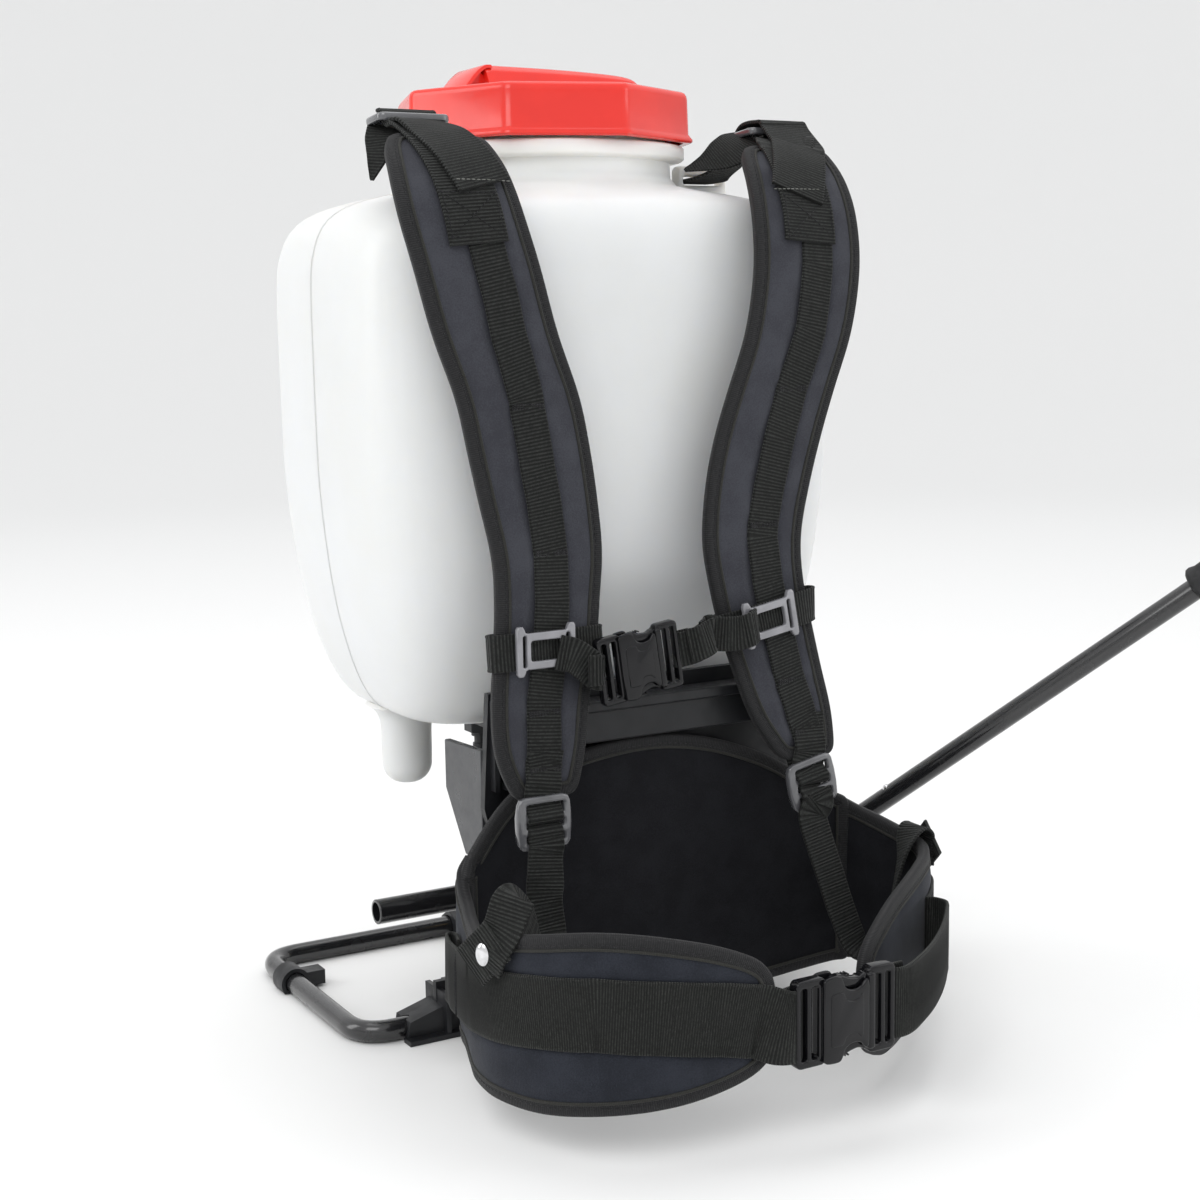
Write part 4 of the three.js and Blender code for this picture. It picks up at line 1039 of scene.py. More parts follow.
def ribbon_mesh(route, facing, section, closed=False):
    """A swept section that carries UVs in metres: U along the route and V across it."""
    points, faces = sweep(route, facing, section, closed=closed)
    s = lengths_along(route)
    shape = section(0) if callable(section) else section
    mesh = bpy.data.meshes.new("ribbon")
    mesh.from_pydata([tuple(p) for p in points * MM], [], faces)
    ring, k = np.divmod(np.arange(len(points)), len(shape))
    uv = np.stack([s[ring], shape[k, 0]], 1) * MM
    corner = np.empty(len(mesh.loops), np.int32)
    mesh.loops.foreach_get("vertex_index", corner)
    mesh.uv_layers.new(name="UVMap").data.foreach_set("uv", uv[corner].astype(np.float32).ravel())
    tidy_mesh(mesh)
    return mesh


def web_section(width, thick):
    """Flat webbing with a slightly raised, round selvedge along each side."""
    w, t = width / 2, thick / 2
    top = [[-w, 0], [0.25 - w, t], [1.0 - w, t * 1.25], [1.9 - w, t * 0.95], [-w * 0.35, t], [w * 0.35, t],
           [w - 1.9, t * 0.95], [w - 1.0, t * 1.25], [w - 0.25, t], [w, 0]]
    return np.array(top + [[x, -y] for x, y in top[-2:0:-1]])


def woven(name, rows, width, look, slot="webbing", body="frame", thick=1.5, pitch=1.9, relief=0.22):
    """Webbing along rows of [place, facing], with real ribs across it. width may be a list along the rows."""
    count = int(lengths_along(rows)[-1] / pitch * 4)
    wide = np.broadcast_to(width, len(rows)).astype(float)
    line = evenly(np.column_stack([rows, wide]), count)
    ribs = 1 + relief * np.cos(TAU * lengths_along(line) / pitch)
    widest = line[:, 6].max()
    section = web_section(widest, thick)
    inner = np.abs(section[:, 0]) < widest / 2 - 1.5

    def shape(i):
        across = np.full(len(section), line[i, 6] / widest)
        return section * np.stack([across, np.where(inner, ribs[i], 1)], 1)

    return link(name, ribbon_mesh(line[:, :3], unit(line[:, 3:6]), shape), look, slot, body, 60)


STITCH = [(-0.5, 0.25), (-0.36, 0.9), (0, 1.1), (0.36, 0.9), (0.5, 0.25)]


def stitch_mesh(places, along, facing, length, r):
    """Short round stitches, one at each place."""
    along, facing = unit(along), unit(facing)
    side = np.cross(along, facing)
    ring = circle(r, 5)
    round_it = ring[:, :1] * side[:, None] + ring[:, 1:] * facing[:, None]
    rows = [a * length * along[:, None] + k * round_it for a, k in STITCH]
    points = np.concatenate([places[:, None] + row for row in rows], 1)
    base = loft([ring] * len(STITCH))[1]
    size = len(ring) * len(STITCH)
    faces = [tuple(i + size * k for i in face) for k in range(len(places)) for face in base]
    return mesh_of(points.reshape(-1, 3), faces)


def sew(name, lines, slot, every, look=None, length=2.6, r=0.3):
    """Running stitches along lines of [place, facing]."""
    meshes = []
    for line in lines:
        even = evenly(line, max(3, int(lengths_along(line)[-1] / every)))
        meshes.append(stitch_mesh(even[:, :3], np.gradient(even[:, :3], axis=0), even[:, 3:6], length, r))
    return link(name, joined(meshes), look or THREAD, slot, "frame", 60)


class Face:
    """The finished outer face of a pad, for whatever is sewn on it."""

    def __init__(self, sheet, mesh):
        self.sheet = sheet
        bm = bmesh.new()
        bm.from_mesh(mesh)
        self.tree = BVHTree.FromBMesh(bm)
        bm.free()

    def lift(self, u, v):
        """How far the face stands off the sheet at each point."""
        found = []
        for p, n in zip(self.sheet.at(u, v, 30.0), self.sheet.normal(u)):
            distance = self.tree.ray_cast(Vector(p * MM), Vector(-n))[3]
            found.append(30 - distance / MM if distance else HEM_HALF)
        return np.array(found)

    def rows(self, u, v, above, spread=6.0, ease=7):
        """Rows of [place, facing] that rest on the face, bridging its small dips as stiff webbing does."""
        u, v = np.broadcast_arrays(np.asarray(u, float), np.asarray(v, float))
        rise = np.max([self.lift(u, v + d) for d in (-spread, 0, spread)], axis=0)
        rise = smooth(rise, ease) if len(rise) > ease else rise
        return np.column_stack([self.sheet.at(u, v, rise + above), self.sheet.normal(u)])


# ------------------------------------------------------------------ shoulder straps
FALL = [
    [-94, 501.5], [-103, 496], [-118, 482], [-130, 462], [-136, 434], [-138, 398], [-138, 366], [-138, 338],
    [-138, 311], [-139, 282], [-140, 257], [-142, 231], [-145, 205], [-149, 178], [-151.5, 153],
]
PAD_WIDE = [54, 60, 66, 69, 70, 70, 70, 70, 68, 64, 61, 60, 57, 52, 36]
STRAPS = {
    "left": {
        "side": -1,
        "run": [-114, -117, -118, -118, -112, -103, -91, -85, -80, -76, -77, -80, -85, -88, -87],
        "bartacks": [361, 283, 198, 168],
        "drift": [[480, 7], [420, 6], [330, 0], [150, 0]],
        "covered": False,
        "patch": [[-120.5, 505], [-116, 478], [-112.5, 444]],
        "hem": [-105, 471],
        "slider": [-84.5, 232, 0],
        "lock": [-91, 0, 0],
    },
    "right": {
        "side": 1,
        "run": [108, 105, 102, 99, 97, 90, 78, 68, 61, 56, 58, 63, 69, 76, 85],
        "bartacks": [365, 289, 198, 168],
        "drift": [[480, 4], [150, 4]],
        "covered": True,
        "patch": [[106, 505], [99, 478], [96, 446]],
        "hem": [92, 470],
        "slider": [60, 235, 10],
        "lock": [84, 12, 2],
    },
}
GLIDE_Y, GLIDE_Z, GLIDE_SLOPE, GLIDE_OUT = -74, 512.5, 0.10, 6.5


def strap_sheet(run):
    rows = [[0, *p, x - w / 2, x + w / 2] for p, x, w in zip(FALL, run, PAD_WIDE)]
    return Sheet(rows, X_AXIS)


def strap_pressing(middle, tacks):
    """Depth of the channel under the webbing, and of the dimples and puckers at each bartack."""
    def depth(u, v):
        off = np.abs(v - middle(u))
        channel = 1.3 * np.clip((15 - off) / 5, 0, 1) * np.clip((u - 60) / 20, 0, 1)
        total = channel
        for tack_u, tack_v in tacks:
            du, dv = u - tack_u, v - tack_v
            far = np.hypot(du, dv)
            total = total + 1.5 * np.exp(-(far / 8) ** 2)
            total = total + 0.55 * np.exp(-(far / 17) ** 2) * np.cos(5 * np.arctan2(dv, du) + tack_u)
        return total
    return depth


def make_strap(word):
    """One shoulder strap from the tri-glide at the top to the ladder lock at the bottom."""
    strap = STRAPS[word]
    sheet = strap_sheet(strap["run"])
    run_u = lengths_along(np.array(FALL, float)) * sheet.length / lengths_along(np.array(FALL, float))[-1]

    drift = np.array(strap["drift"], float)

    def middle(u):
        return np.interp(u, run_u, strap["run"]) + np.interp(u, sheet.u_at_height(drift[:, 0]), drift[:, 1])

    tacks = [(float(u), float(middle(u))) for u in sheet.u_at_height(strap["bartacks"])]
    _, face = padded_piece("strap_pad_" + word, sheet, (20, 12), 4.4, 12, KNIT, "strap_pad",
                           "shoulder_pad_" + word, strap_pressing(middle, tacks))
    make_daisy_chain(word, sheet, face, middle, tacks)
    glide_x = strap["run"][0] + strap["side"] * GLIDE_OUT
    make_load_webbing(word, strap, sheet, face, glide_x)
    make_tri_glide(word, glide_x)
    make_slider(word, strap, sheet, face)
    make_lock(word, strap, sheet, face)


def make_daisy_chain(word, sheet, face, middle, tacks):
    """The narrow ribbed webbing down the middle of the pad, tacked at intervals."""
    first, last = float(sheet.u_at_height(452)), sheet.length - 14
    u = np.arange(first, last, 2.5)
    rows = face.rows(u, middle(u), 0.9, 5)
    nearest = np.min([np.abs(u - t) for t, _ in tacks], axis=0)
    bow = 1.1 * np.clip(nearest / 26, 0, 1) ** 2 * np.clip((u - first - 8) / 30, 0, 1)
    rows[:, :3] += bow[:, None] * rows[:, 3:]
    woven("daisy_webbing_" + word, rows, 20.5, WEB)
    lines = []
    for tack_u, _ in tacks:
        for k in range(-1, 2):
            v = middle(tack_u) + np.linspace(-8.6, 8.6, 9)
            lines.append(face.rows(np.full(9, tack_u + 1.1 * k), v, 1.95, 1, 9))
    sew("bartacks_" + word, lines, "webbing", 1.5, length=2.2, r=0.45)


def glide_point(x, forward, above):
    """A place on the tilted tri-glide: forward along its slope, above its face."""
    ahead = np.array([0, -math.cos(GLIDE_SLOPE), math.sin(GLIDE_SLOPE)])
    up = np.array([0, math.sin(GLIDE_SLOPE), math.cos(GLIDE_SLOPE)])
    return np.array([x, GLIDE_Y, GLIDE_Z]) + forward * ahead + above * up


def make_load_webbing(word, strap, sheet, face, glide_x):
    """Two layers: one from the sewn patch to the lug on the tank, and a shorter one hemmed on top of it."""
    side = strap["side"]
    patch = np.array(strap["patch"], float)
    patch_u = sheet.u_at_height(patch[:, 1])
    order = patch_u.argsort()

    def centre(u):
        return np.interp(u, patch_u[order], patch[order, 0])

    u = np.arange(patch_u.max(), 4, -5.0)
    on_pad = face.rows(u, centre(u), 1.9, 11)
    up, ahead = np.array([0, 0.1, 1.0]), np.array([0, -0.5, 0.87])
    over = [
        [*glide_point(glide_x, 15, -5.0), *up], [*glide_point(glide_x, 9, -4.9), *up],
        [*glide_point(glide_x, 4.6, -1.6), *ahead], [*glide_point(glide_x, 0, 3.0), *up],
        [*glide_point(glide_x, -4.6, -0.4), 0, 0.95, 0.2], [*glide_point(glide_x, -9, -4.6), *up],
        [side * 101, -58, 498, 0, 0.2, 1], [side * 93, -46, 489.5, 0, 0, 1], [side * 93, -30, 488, 0, 0, 1],
        [side * 93, -17, 488, 0, 0, 1],
    ]
    load = through(np.vstack([on_pad, over]), 160)
    wide = np.interp(np.linspace(0, 1, 160), [0, 0.55, 0.72, 1], [34, 34, 28, 25])
    piece = woven("load_webbing_" + word, load, wide, WEB, thick=1.6)
    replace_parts(piece, "upper_web_" + word)
    make_hemmed_layer(word, strap, sheet, face, glide_x)
    box_top = float(sheet.u_at_height(patch[2, 1] + 24))
    make_box_stitching(word, face, centre, patch_u.max() - 3, box_top)
    make_tail(word, glide_x)


def make_hemmed_layer(word, strap, sheet, face, glide_x):
    """The second layer: hemmed on the pad, then threaded through the tri-glide or folded right over it."""
    hem_x, hem_z = strap["hem"]
    hem_u = float(sheet.u_at_height(hem_z))
    u = np.arange(hem_u, 3, -4.0)
    v = np.interp(u, [0, hem_u], [glide_x + 2, hem_x])
    rows = face.rows(u, v, 3.7, 11)
    if strap["covered"]:
        path = [(16, 0.4), (13, 4.6), (8, 5.6), (0, 6.6), (-7, 6.0), (-12, 3.0), (-14, -2.0)]
    else:
        path = [(15, -3.1), (9, -3.1), (4.3, 0.3), (0, 4.9), (-4, 5.4)]
    line = np.array([glide_point(glide_x, forward, above) for forward, above in path])
    slope = unit(np.gradient(line, axis=0))
    end = np.column_stack([line, np.cross(X_AXIS, slope)])
    woven("hemmed_webbing_" + word, through(np.vstack([rows, end]), 100), 33, WEB, thick=1.7)
    across = np.linspace(-14.5, 14.5, 13)
    seam = face.rows(np.full(13, hem_u - 2.4), hem_x + across, 4.7, 1, 12)
    sew("hem_thread_" + word, [seam], "webbing", 2.6, PALE_THREAD, 2.2, 0.25)


def make_box_stitching(word, face, centre, low_u, high_u):
    """A sewn box with a cross in it, where the load webbing ends."""
    corners = [(low_u, -15), (low_u, 15), (high_u, 15), (high_u, -15), (low_u, -15), (high_u, 15)]
    lines = []
    for (u0, v0), (u1, v1) in [*zip(corners, corners[1:]), ((high_u, -15), (low_u, 15))]:
        u, v = np.linspace(u0, u1, 14), np.linspace(v0, v1, 14)
        lines.append(face.rows(u, centre(u) + v, 2.85, 1, 9))
    sew("box_stitching_" + word, lines, "webbing", 3.0, length=2.4, r=0.34)


TAILS = {
    "left": ([[-12, -72, 508.5, 0, -0.4, 1], [-17, -77, 503, -0.5, -0.6, 0.6],
              [-20, -81, 496, -0.7, -0.7, 0.2],
              [-24, -84, 487, -0.7, -0.7, 0.3], [-27, -86, 480, -0.7, -0.7, 0.3]], [20, 18, 15, 9, 2]),
    "right": ([[-14, -76, 510, 0, -0.3, 1], [-30, -79, 503, 0.2, -0.6, 0.8], [-46, -81, 496, 0.2, -0.8, 0.6],
               [-58, -82, 492, 0.2, -0.8, 0.6], [-65, -82, 490, 0.2, -0.8, 0.6]], [28, 26, 20, 10, 2]),
}


def make_tail(word, glide_x):
    """The cut end of the webbing that points out beside each tri-glide."""
    rows, wide = TAILS[word]
    rows = through(np.array(rows) + [glide_x, 0, 0, 0, 0, 0], 50)
    taper = np.interp(np.linspace(0, 1, 50), np.linspace(0, 1, 5), wide)
    woven("webbing_tail_" + word, rows, taper, WEB, thick=1.4)


def make_tri_glide(word, glide_x):
    slots = [rounded_rectangle(33, 5, 1.6, centre=(0, z)) for z in (-4.5, 4.5)]
    mesh = plate_mesh(rounded_rectangle(42, 22, 5), slots, 4.2, 1.3)
    place(mesh, (glide_x, GLIDE_Y, GLIDE_Z), X_AXIS, glide_point(0, 1, 0) - glide_point(0, 0, 0))
    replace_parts(link("tri_glide_" + word, mesh, PAINTED_GLINT_ACETAL, "buckle", "frame"), "triglide_" + word)


def make_slider(word, strap, sheet, face):
    """The H-shaped slider that carries the sternum strap, and the webbing loop that holds it to the pad."""
    x, z, tilt = strap["slider"]
    u = float(sheet.u_at_height(z))
    normal = sheet.normal(np.array([u]))[0]
    a = np.arange(96) * TAU / 96
    power = 2 / 3.4
    middle = np.interp(z, [205, 231, 257], [strap["run"][12], strap["run"][11], strap["run"][10]])
    v = middle + 33.5 * np.sign(np.cos(a)) * np.abs(np.cos(a)) ** power
    rise = face.lift(np.full(3, u), middle + np.array([-8.0, 0, 8])).max() + 3.2
    lift = np.where(np.sin(a) > 0, rise, 7.2) * np.sign(np.sin(a)) * np.abs(np.sin(a)) ** power
    lean = math.radians(tilt)
    loop = sheet.at(u - (v - x) * math.sin(lean), v, lift)
    out = np.cos(a)[:, None] * X_AXIS + np.sin(a)[:, None] * normal
    band = ribbon_mesh(loop, out, web_section(20, 1.5), closed=True)
    link("sternum_loop_" + word, band, WEB, "webbing", "frame", 60)
    outline = [(17.5, 12), (16.5, 13.5), (14, 13.5), (13, 12), (12.4, 10.2), (11, 9.8)]
    outline = [(sx * px, sz * pz) for sx, sz in ((1, 1), (-1, 1), (-1, -1), (1, -1))
               for px, pz in (outline if sx * sz > 0 else outline[::-1])]
    side_slots = [rounded_rectangle(2.3, 17, 1, centre=(s * 13, 0)) for s in (-1, 1)]
    mesh = plate_mesh(outline, [rounded_rectangle(18.6, 11, 1.5), *side_slots], 3.6, 0.9)
    across = math.cos(lean) * X_AXIS + math.sin(lean) * Z_AXIS
    place(mesh, sheet.at(u, x, rise + 2.4), across, Z_AXIS)
    # The slider's light grey is a painted highlight.
    piece = link("sternum_slider_" + word, mesh, PAINTED_HIGHLIGHT_ACETAL, "buckle", "frame")
    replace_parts(piece, "sternum_slider_" + word)


LOCK_Y, LOCK_Z = -156.5, 141


def make_lock(word, strap, sheet, face):
    """The ladder lock under the pad, with the loop of webbing that carries it."""
    x, tilt, drop = strap["lock"]
    lean = math.radians(tilt)
    across = math.cos(lean) * X_AXIS + math.sin(lean) * Z_AXIS
    up = math.cos(lean) * Z_AXIS - math.sin(lean) * X_AXIS
    outline = [(15.5, 11), (14.2, 13.6), (11, 14.6), (-11, 14.6), (-14.2, 13.6), (-15.5, 11), (-16.6, 4),
               (-16.6, -4),
               (-15.5, -11), (-13.6, -13.8), (-10, -14.6), (10, -14.6), (13.6, -13.8), (15.5, -11),
               (16.2, -4), (16.2, 4)]
    slots = [(22.5, 6.0, 7.6), (22.5, 4.6, -0.6), (22.5, 4.6, -8.2)]
    mesh = plate_mesh(outline, [rounded_rectangle(w, h, 1.2, centre=(0.6, z)) for w, h, z in slots], 4.6, 1.3)
    centre = np.array([x, LOCK_Y - drop / 2, LOCK_Z - drop])
    place(mesh, centre, across, up)
    body = "lock_" + word
    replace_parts(link("ladder_lock_" + word, mesh, PAINTED_GLINT_ACETAL, "buckle", body), "ladder_lock_" + word)

    def near(high, front):
        return centre + high * up + front * -Y_AXIS

    u = sheet.length - np.array([26.0, 17, 9, 3])
    lift = face.lift(u, np.full(4, float(x))) * [1, 1, 0, 0] + [1.2, 1.6, 5.4, 4.6]
    v = np.interp(u, [u[0], u[3]], [strap["run"][14], x])
    top = np.column_stack([sheet.at(u, v, lift), sheet.normal(u)])
    front = [[*near(10.5, -0.8), 0, -1, 0.1], [*near(7.2, 0.8), 0, -1, 0.6],
             [*near(3.4, 3.4), *-Y_AXIS], [*near(0.4, 1.0), 0, -0.6, -0.8], [*near(0.6, -2.5), 0, 0.6, -0.8],
             [*near(4, -4.2), *Y_AXIS], [*near(12, -4.6), *Y_AXIS], [*near(20, -5.2), *Y_AXIS]]
    loop = woven("lock_loop_" + word, through(np.vstack([top, front]), 90), 21.5, WEB, body=None, pitch=1.5)
    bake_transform(loop)
    route = LOWER_WEB[word]
    start = [[*near(-12, -4.6), *Y_AXIS], [*near(-6, -4.4), *Y_AXIS], [*near(-2.2, -1.5), 0, 0.6, 0.8],
             [*near(-4.2, 2.6), 0, -0.8, 0.6], [*near(-8, 2.4), *-Y_AXIS], [*near(-12.5, 3.6), *-Y_AXIS]]
    rows = through(np.vstack([start, route["rows"]]), 150)
    wide = np.interp(np.linspace(0, 1, 150), route["wide"][0], route["wide"][1])
    web = woven("lower_webbing_" + word, rows, wide, WEB, body=None, pitch=1.5)
    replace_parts(web, "lower_web_" + word)
    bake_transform(web)


LOWER_WEB = {
    "left": {
        "rows": [
            [-92, -160, 124, 0, -1, 0], [-93.5, -162, 113, -0.1, -1, 0], [-94.5, -163, 103, -0.5, -0.85, 0.1],
            [-94, -165, 94, -0.35, -0.9, 0.2], [-93, -167, 84, -0.1, -1, 0.2], [-95, -172, 75, 0, -0.8, 0.6],
            [-103, -184, 73, 0.2, -0.6, 0.7], [-114, -198, 79, 0.5, -0.8, 0.3],
            [-126, -211, 93, 0.6, -0.75, 0.2],
            [-136, -220, 111, 0.6, -0.75, 0.1], [-141, -224, 123, 0.4, -0.5, 0.7],
            [-144, -226, 126.5, -0.3, -0.4, 0.9],
            [-147.5, -227.5, 123, -0.75, -0.6, 0.2], [-153, -228.5, 112.5, -0.85, -0.45, 0.2],
            [-158.6, -226, 103, -0.9, -0.4, 0.1], [-160.5, -222, 93.5, -0.93, -0.36, 0],
        ],
        "wide": ([0, 0.2, 0.27, 0.36, 0.5, 0.7, 1], [21, 21, 17, 16, 20, 22, 23]),
        "rivet": (-161.2, -222.5, 99.5),
        "facing": (-0.9, -0.44, 0),
    },
    "right": {
        "rows": [
            [82, -161, 121, 0.1, -1, 0], [84, -165, 106, 0.1, -1, 0.1], [87, -171, 88, 0.1, -1, 0.2],
            [90, -178, 68, 0.1, -0.95, 0.3], [94, -185, 50, 0.1, -0.8, 0.6], [99, -189, 41.5, 0.1, -0.1, 1],
            [105, -192, 43, -0.5, 0.3, 0.8], [111, -194, 56, -0.75, 0.6, 0.3],
            [118, -191, 76, -0.75, 0.6, 0.2],
            [127, -187, 95, -0.75, 0.5, 0.4], [135, -183, 106, -0.5, 0.2, 0.8], [142, -180, 109.5, 0, 0, 1],
            [149, -178, 106, 0.8, 0, 0.6], [151.2, -177, 97, 1, -0.1, 0], [151.2, -177, 86, 1, -0.1, 0],
        ],
        "wide": ([0, 0.5, 0.6, 1], [21, 20, 18, 20]),
        "rivet": (152.6, -177.2, 95),
        "facing": (1, -0.08, 0),
    },
}


# ------------------------------------------------------------------ hip belt
LUMBAR = [
    [-127, -132.5, 19, 110], [-119, -128, 18, 123], [-98, -125.5, 16, 146], [-70, -124.5, 14, 163],
    [-35, -124, 14, 170], [0, -124, 14, 171], [35, -124, 14, 165], [70, -124.5, 14, 152],
    [98, -125.5, 16, 136], [119, -128, 18, 123], [128, -133.5, 19, 118],
]
WINGS = {
    "left": [
        [-116, -122.5, 19, 123], [-125, -127, 19, 114], [-129, -135, 20, 106.5], [-132.5, -147, 20, 100.5],
        [-140, -168, 20, 98], [-148, -192, 21, 100], [-150, -218, 22, 106], [-141, -247, 23, 112],
        [-122, -270, 26, 116],
        [-96, -285, 29, 113], [-66, -293, 35, 105], [-40, -296, 45, 93],
    ],
    "right": [
        [117, -122.5, 19, 123], [126, -127.5, 19, 118.5], [132, -136, 20, 114], [138.5, -147, 20, 109.5],
        [144, -166, 20, 104],
        [141, -186, 20, 102], [129, -204, 20, 101], [113, -219, 19, 101], [92, -235, 17, 99],
        [69, -251, 16, 96], [46, -267, 19, 90], [25, -281, 33, 81],
    ],
}
WAIST_Y, HIP_Z, HIP_HALF = -303, 63, 19
HIP_RISE = {
    "left": [3, 3, 3, 3, 4, 5, 8, 12, 14, 12, 8, 2],
    "right": [-2, -2, -2, -2, -1, 0, 0, 0, 0, 0, 1, 1],
}


def belt_sheet(rows, side):
    return Sheet([[x, y, 0, low, high] for x, y, low, high in rows], Z_AXIS, side)


def make_lumbar():
    sheet = belt_sheet(LUMBAR, 1)
    padded_piece("lumbar_cushion", sheet, (5, 5), 4.2, 16, LINING, "belt_pad", "lumbar_pad")


def make_wing(word):
    """One side of the padded belt, cloth outside and dark lining inside, with its webbing and rivet."""
    side = -1 if word == "left" else 1
    rows = WINGS[word]
    sheet = belt_sheet(rows, -side)
    wing_u = lengths_along(np.array([[r[0], r[1], 0] for r in rows]))

    def middle(u):
        return HIP_Z + np.interp(u, wing_u, HIP_RISE[word])

    def depth(u, v):
        return 1.2 * np.clip((HIP_HALF + 3 - np.abs(v - middle(u))) / 5, 0, 1) * np.clip((u - 45) / 20, 0, 1)

    pad, face = padded_piece("belt_wing_" + word, sheet, (5, 24), 4.4, 14, BELT_CLOTH, "belt_pad",
                             "hip_wing_" + word, depth, (True, False))
    pad.data.materials.append(LINING)
    points = coordinates(pad.data)
    inner = sheet.read(points)[2] < 0
    for face_of_pad in pad.data.polygons:
        face_of_pad.material_index = int(inner[face_of_pad.vertices[0]])
    make_belt_webbing(word, side, sheet, face, middle)
    make_anchor(word)


BELT_FOLD = [(36, 11.5, 0.0), (29, 11.6, 1.0), (26.5, 8.5, 2.1), (31, 6.2, 3.0), (44, 6.4, 3.14)]


def make_belt_webbing(word, side, sheet, face, middle):
    """The wide webbing on the wing's outer face: a loose fold at the rear, the buckle at the front."""
    u = np.arange(sheet.length - 9, 42, -5.0)
    flat = face.rows(u, middle(u), 1.1, 14)
    stand = np.interp(u, [42, 66, 92], [5.5, 3.0, 0])
    flat[:, :3] += stand[:, None] * flat[:, 3:]
    tail = []
    for du, lift, turn in BELT_FOLD:
        normal, along = sheet.normal(np.array([du]))[0], sheet.rows_at(np.array([du]), sheet.tangents)[0]
        base = sheet.at(du, middle(du), lift)
        tail.append([*base, *(math.cos(turn) * normal - math.sin(turn) * along)])
    if side < 0:
        tip = [[-41, -304.4, 64, 0, -1, 0], [-35, -305.4, HIP_Z, 0, -1, 0], [-30, -304, HIP_Z, 0.5, -1, 0],
               [-27, -300.5, HIP_Z, 1, 0, 0], [-30, -298.4, HIP_Z, 0, 1, 0], [-37, -299.6, HIP_Z, 0, 1, 0]]
    else:
        flat = flat[flat[:, 0] > 114]
        tip = [[121, -233, 63.5, 0.75, -0.65, 0], [107, -250, 64, 0.7, -0.7, 0],
               [89, -268, 64, 0.66, -0.75, 0],
               [69, -285, 64, 0.6, -0.8, 0], [51, -297.5, 64, 0.45, -0.9, 0], [38, -303.8, HIP_Z, 0.2, -1, 0],
               [29, -305, HIP_Z, -0.3, -1, 0], [25, -301.5, HIP_Z, -1, 0, 0], [28, -298.4, HIP_Z, 0, 1, 0],
               [38, -297.6, HIP_Z, 0, 1, 0]]
    rows = through(np.vstack([tip[::-1], flat, tail]), 240)
    body = "frame" if side < 0 else None
    web = woven("belt_webbing_" + word, rows, 2 * HIP_HALF - 1, BELT_WEB, "belt_webbing", body,
                thick=1.6, pitch=1.3, relief=0.35)
    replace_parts(web, "hip_web_" + word)
    if side > 0:
        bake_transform(web)
    tack_u = 58.0
    lines = []
    for k in (-1.2, 0, 1.2):
        v = middle(tack_u) + np.linspace(-17, 17, 16)
        lines.append(face.rows(np.full(16, tack_u + k), v, 5.9, 1, 17))
    sew("belt_tack_" + word, lines, "belt_webbing", 1.6, length=2.2, r=0.42)


def make_anchor(word):
    """The diamond-shaped webbing patch on the wing's outer face, and the oval chrome rivet through it."""
    centre = np.array(LOWER_WEB[word]["rivet"])
    out = unit(np.array(LOWER_WEB[word]["facing"], float))
    along = np.cross(out, Z_AXIS)
    steps = np.linspace(-12, 12, 9)[:, None]
    slant = 0.72 * along * np.sign(out[0]) + 0.69 * Z_AXIS
    route = centre - 0.6 * out + steps * slant - steps**2 * 0.004 * out
    rows = np.column_stack([route, np.broadcast_to(out, route.shape)])
    woven("anchor_patch_" + word, rows, 23, WEB, pitch=1.5)
    profile = [[0, 0], [4.6, 0], [4.7, 0.5], [4.2, 1.2], [3.0, 1.75], [1.5, 2.0], [0, 2.05]]
    mesh = mesh_of(*revolve(profile, 40, (0, 0, 0), Z_AXIS))
    mesh.transform(Matrix.Diagonal((0.85, 1.25, 1, 1)))
    mesh.transform(Vector(out).to_track_quat("Z", "Y").to_matrix().to_4x4())
    mesh.transform(Matrix.Translation(Vector(centre) * MM))
    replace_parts(link("anchor_rivet_" + word, mesh, STEEL, "rivet", "frame"), "rivet_" + word)


# ------------------------------------------------------------------ buckles
def mirrored_outline(half):
    """A smooth outline through the points of its upper half and their mirror images."""
    upper = through([(x, z, 0) for x, z in half], 48)[:, :2]
    return [tuple(p) for p in np.vstack([upper, upper[::-1] * [1, -1]])]


SOCKET_FACE = [(-17, 22), (-14.5, 23.6), (-9, 24), (-6, 23.4), (-4.4, 21), (-3, 17.5), (0, 15.4), (4, 14.8),
               (7.5, 15.8), (10.2, 18.6), (11.6, 19.2), (12.8, 17), (13, 12)]
PRONG = [(14, 20.5), (12, 21.3), (8, 19.8), (2, 20.8), (-2, 22.6), (-6, 22.8), (-9.5, 21), (-11.5, 17),
         (-10, 14),
         (-6.5, 14), (-3, 15.2), (3, 14.2), (9, 13), (14, 12)]


def bar(w, h, r, centre, thick, edge):
    """A solid bar of the buckle with round corners and edges."""
    return plate_mesh(rounded_rectangle(w, h, r, centre=centre), [], thick, edge)


def ladder_end(x0, x1, slots):
    """A webbing frame with tall slots, drawn with X along the strap."""
    outline = rounded_rectangle(x1 - x0, 48, 3.2, centre=((x0 + x1) / 2, 0))
    holes = [rounded_rectangle(b - a, 39.5, 1.3, centre=((a + b) / 2, 0)) for a, b in slots]
    return plate_mesh(outline, holes, 7.4, 1.1)


def raised(mesh, height):
    mesh.transform(Matrix.Translation((0, 0, height)))
    return mesh


def in_millimetres(parts):
    """A mesh that keeps its millimetre numbers, for pieces placed later."""
    mesh = mesh_of(*parts)
    mesh.transform(Matrix.Scale(1 / MM, 4))
    return mesh


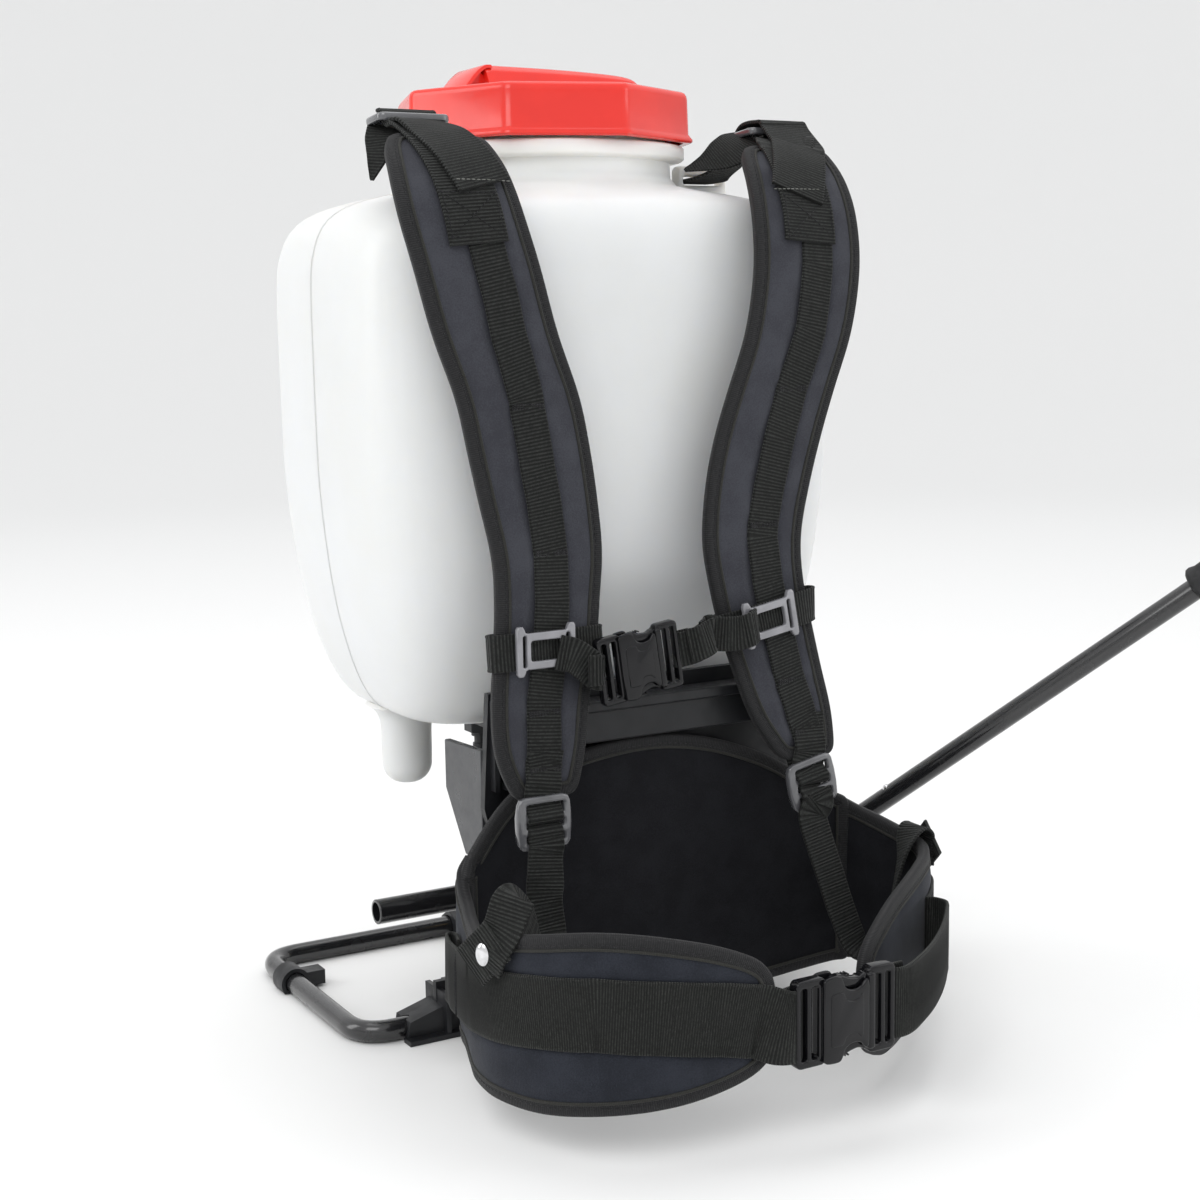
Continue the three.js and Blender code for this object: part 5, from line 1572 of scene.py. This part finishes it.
def buckle_socket():
    """Two skins with a raised crown each, the side walls between them and the webbing end."""
    outline = mirrored_outline(SOCKET_FACE)
    crown = [(x * 0.72 - 0.6, z * 0.62) for x, z in outline]
    parts = [ladder_end(-33, -14, [(-30, -26), (-23, -18.5)]), bar(5, 40, 1.5, (-14.5, 0), 9.0, 1.0)]
    for s in (-1, 1):
        parts.append(raised(plate_mesh(outline, [], 2.6, 1.0), s * 4.9))
        parts.append(raised(plate_mesh(crown, [], 1.4, 0.6), s * 6.0))
        parts.append(bar(10, 2.4, 1.0, (7, s * 10.6), 8.4, 0.5))
    return joined(parts)


def buckle_plug():
    """Two prongs with grip ribs, the guide tongue between them and the webbing end."""
    parts = [ladder_end(14, 32, [(18.5, 22.5), (25.5, 29)]), bar(5, 43, 2, (15.6, 0), 10.4, 1.6),
             bar(24, 6, 2, (3, 0), 5, 1.2)]
    for s in (-1, 1):
        line = through([(x, s * z, 0) for x, z in PRONG], 60)[:, :2]
        parts.append(plate_mesh([tuple(p) for p in line], [], 6.2, 1.3))
        for k in range(4):
            rib = np.array([[-4.6 + 2.0 * k, s * 22.3, z] for z in (-2.4, 0, 2.4)])
            parts.append(in_millimetres(sweep(rib, np.array([0, s, 0]), circle(0.55, 8))))
    return joined(parts)


def make_buckle(word, size, centre, tilt):
    """A side-release buckle, drawn for 40 mm webbing and scaled to its size."""
    lean = math.radians(tilt)
    across = math.cos(lean) * X_AXIS + math.sin(lean) * Z_AXIS
    for draw, half, body in ((buckle_socket, "socket", "frame"), (buckle_plug, "plug", word + "_plug_half")):
        mesh = draw()
        mesh.transform(Matrix.Scale(size, 4))
        place(mesh, centre, across, Z_AXIS)
        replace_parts(link(f"{word}_{half}_moulding", mesh, ACETAL, "buckle", body), f"{word}_{half}")


STERNUM_AT, STERNUM_SIZE, STERNUM_TILT = (-30, -156, 221), 0.78, 8
CHEST_FREE, CHEST_FIXED = (-0.002, -0.156, 0.228), (0.044, -0.156, 0.232)


def make_sternum_strap():
    """The chest strap: webbing from each slider, the buckle between them, slack gathered by the plug."""
    make_buckle("sternum", STERNUM_SIZE, STERNUM_AT, STERNUM_TILT)
    left = [
        [-78, -152.5, 231, 0, -1, 0], [-71, -156.5, 229, 0.2, -1, 0], [-64, -158, 224, 0, -1, 0],
        [-58, -158.6, 219, -0.1, -1, 0], [-53.5, -157.2, 218, 0.7, -0.7, 0], [-51.5, -154.2, 218, 1, 0.1, 0],
        [-54.5, -152.4, 219, 0, 1, 0], [-63, -153.2, 224, 0, 1, 0],
    ]
    web = woven("sternum_webbing_left", through(left, 60), 19, WEB, pitch=1.5)
    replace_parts(web, "sternum_web_left")
    keeper = [[-60 + k, -161.5 + 0.25 * k * k / 4, 220.5, -0.25 * k, -1, 0] for k in (-4, -2, 0, 2, 4)]
    woven("sternum_keeper", through(keeper, 20), 17, WEB, pitch=1.5, thick=2.4)
    right = [
        [4, -153.6, 227, 0, 1, 0], [-3, -153.2, 226, 0, 1, 0], [-6.6, -155.8, 225.4, -1, 0, 0],
        [-3, -158.6, 226, 0, -1, 0], [4, -159.5, 227.5, 0.15, -1, 0.1], [13, -156.5, 230, 0.5, -1, 0.2],
        [19, -153.6, 231.5, 0.1, -1, 0], [27, -155.2, 231, -0.15, -1, 0], [36, -156.5, 231, 0, -1, 0],
        [43, -157.5, 232.5, 0, -1, 0], [50, -152.6, 234, 0.3, -1, 0],
    ]
    web = woven("sternum_webbing_right", through(right, 90), 19.5, WEB, body=None, pitch=1.5)
    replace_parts(web, "sternum_web_right")
    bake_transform(web)
    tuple(CHEST_FREE)
    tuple(CHEST_FIXED)
    gathered = [
        [-1, -161.4, 228, -0.4, -1, 0], [5, -164.0, 229.5, 0, -1, 0], [12, -162.6, 232, 0.5, -1, 0.2],
        [15.5, -159.4, 234, 1, -0.1, 0], [12.5, -158.6, 233, 0, 1, 0.1], [8, -160.6, 231.5, -0.4, 0.8, 0],
    ]
    bunch = woven("sternum_slack", through(gathered, 50), 19.5, WEB, body=None, pitch=1.5)
    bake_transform(bunch)
    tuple(CHEST_FREE)
    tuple(CHEST_FIXED)


def make_cad_finishes():
    for node, (material, slot, width) in SOFTENED.items():
        soften(node, material, slot, width)


make_camera()
make_stage()
make_tank()
make_lid()
make_foot_loop()
make_shaft_and_lever()
for word in ("left", "right"):
    make_strap(word)
    make_wing(word)
make_lumbar()
make_sternum_strap()
make_buckle("hip", 0.93, (-2.5, WAIST_Y, HIP_Z), 0)
make_cad_finishes()
visual_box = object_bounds()
for label, corners in (("cad", cad_box), ("visual", visual_box)):
    json.dumps({label: [[round(float(c), 5) for c in corner] for corner in corners]}) + "\n"
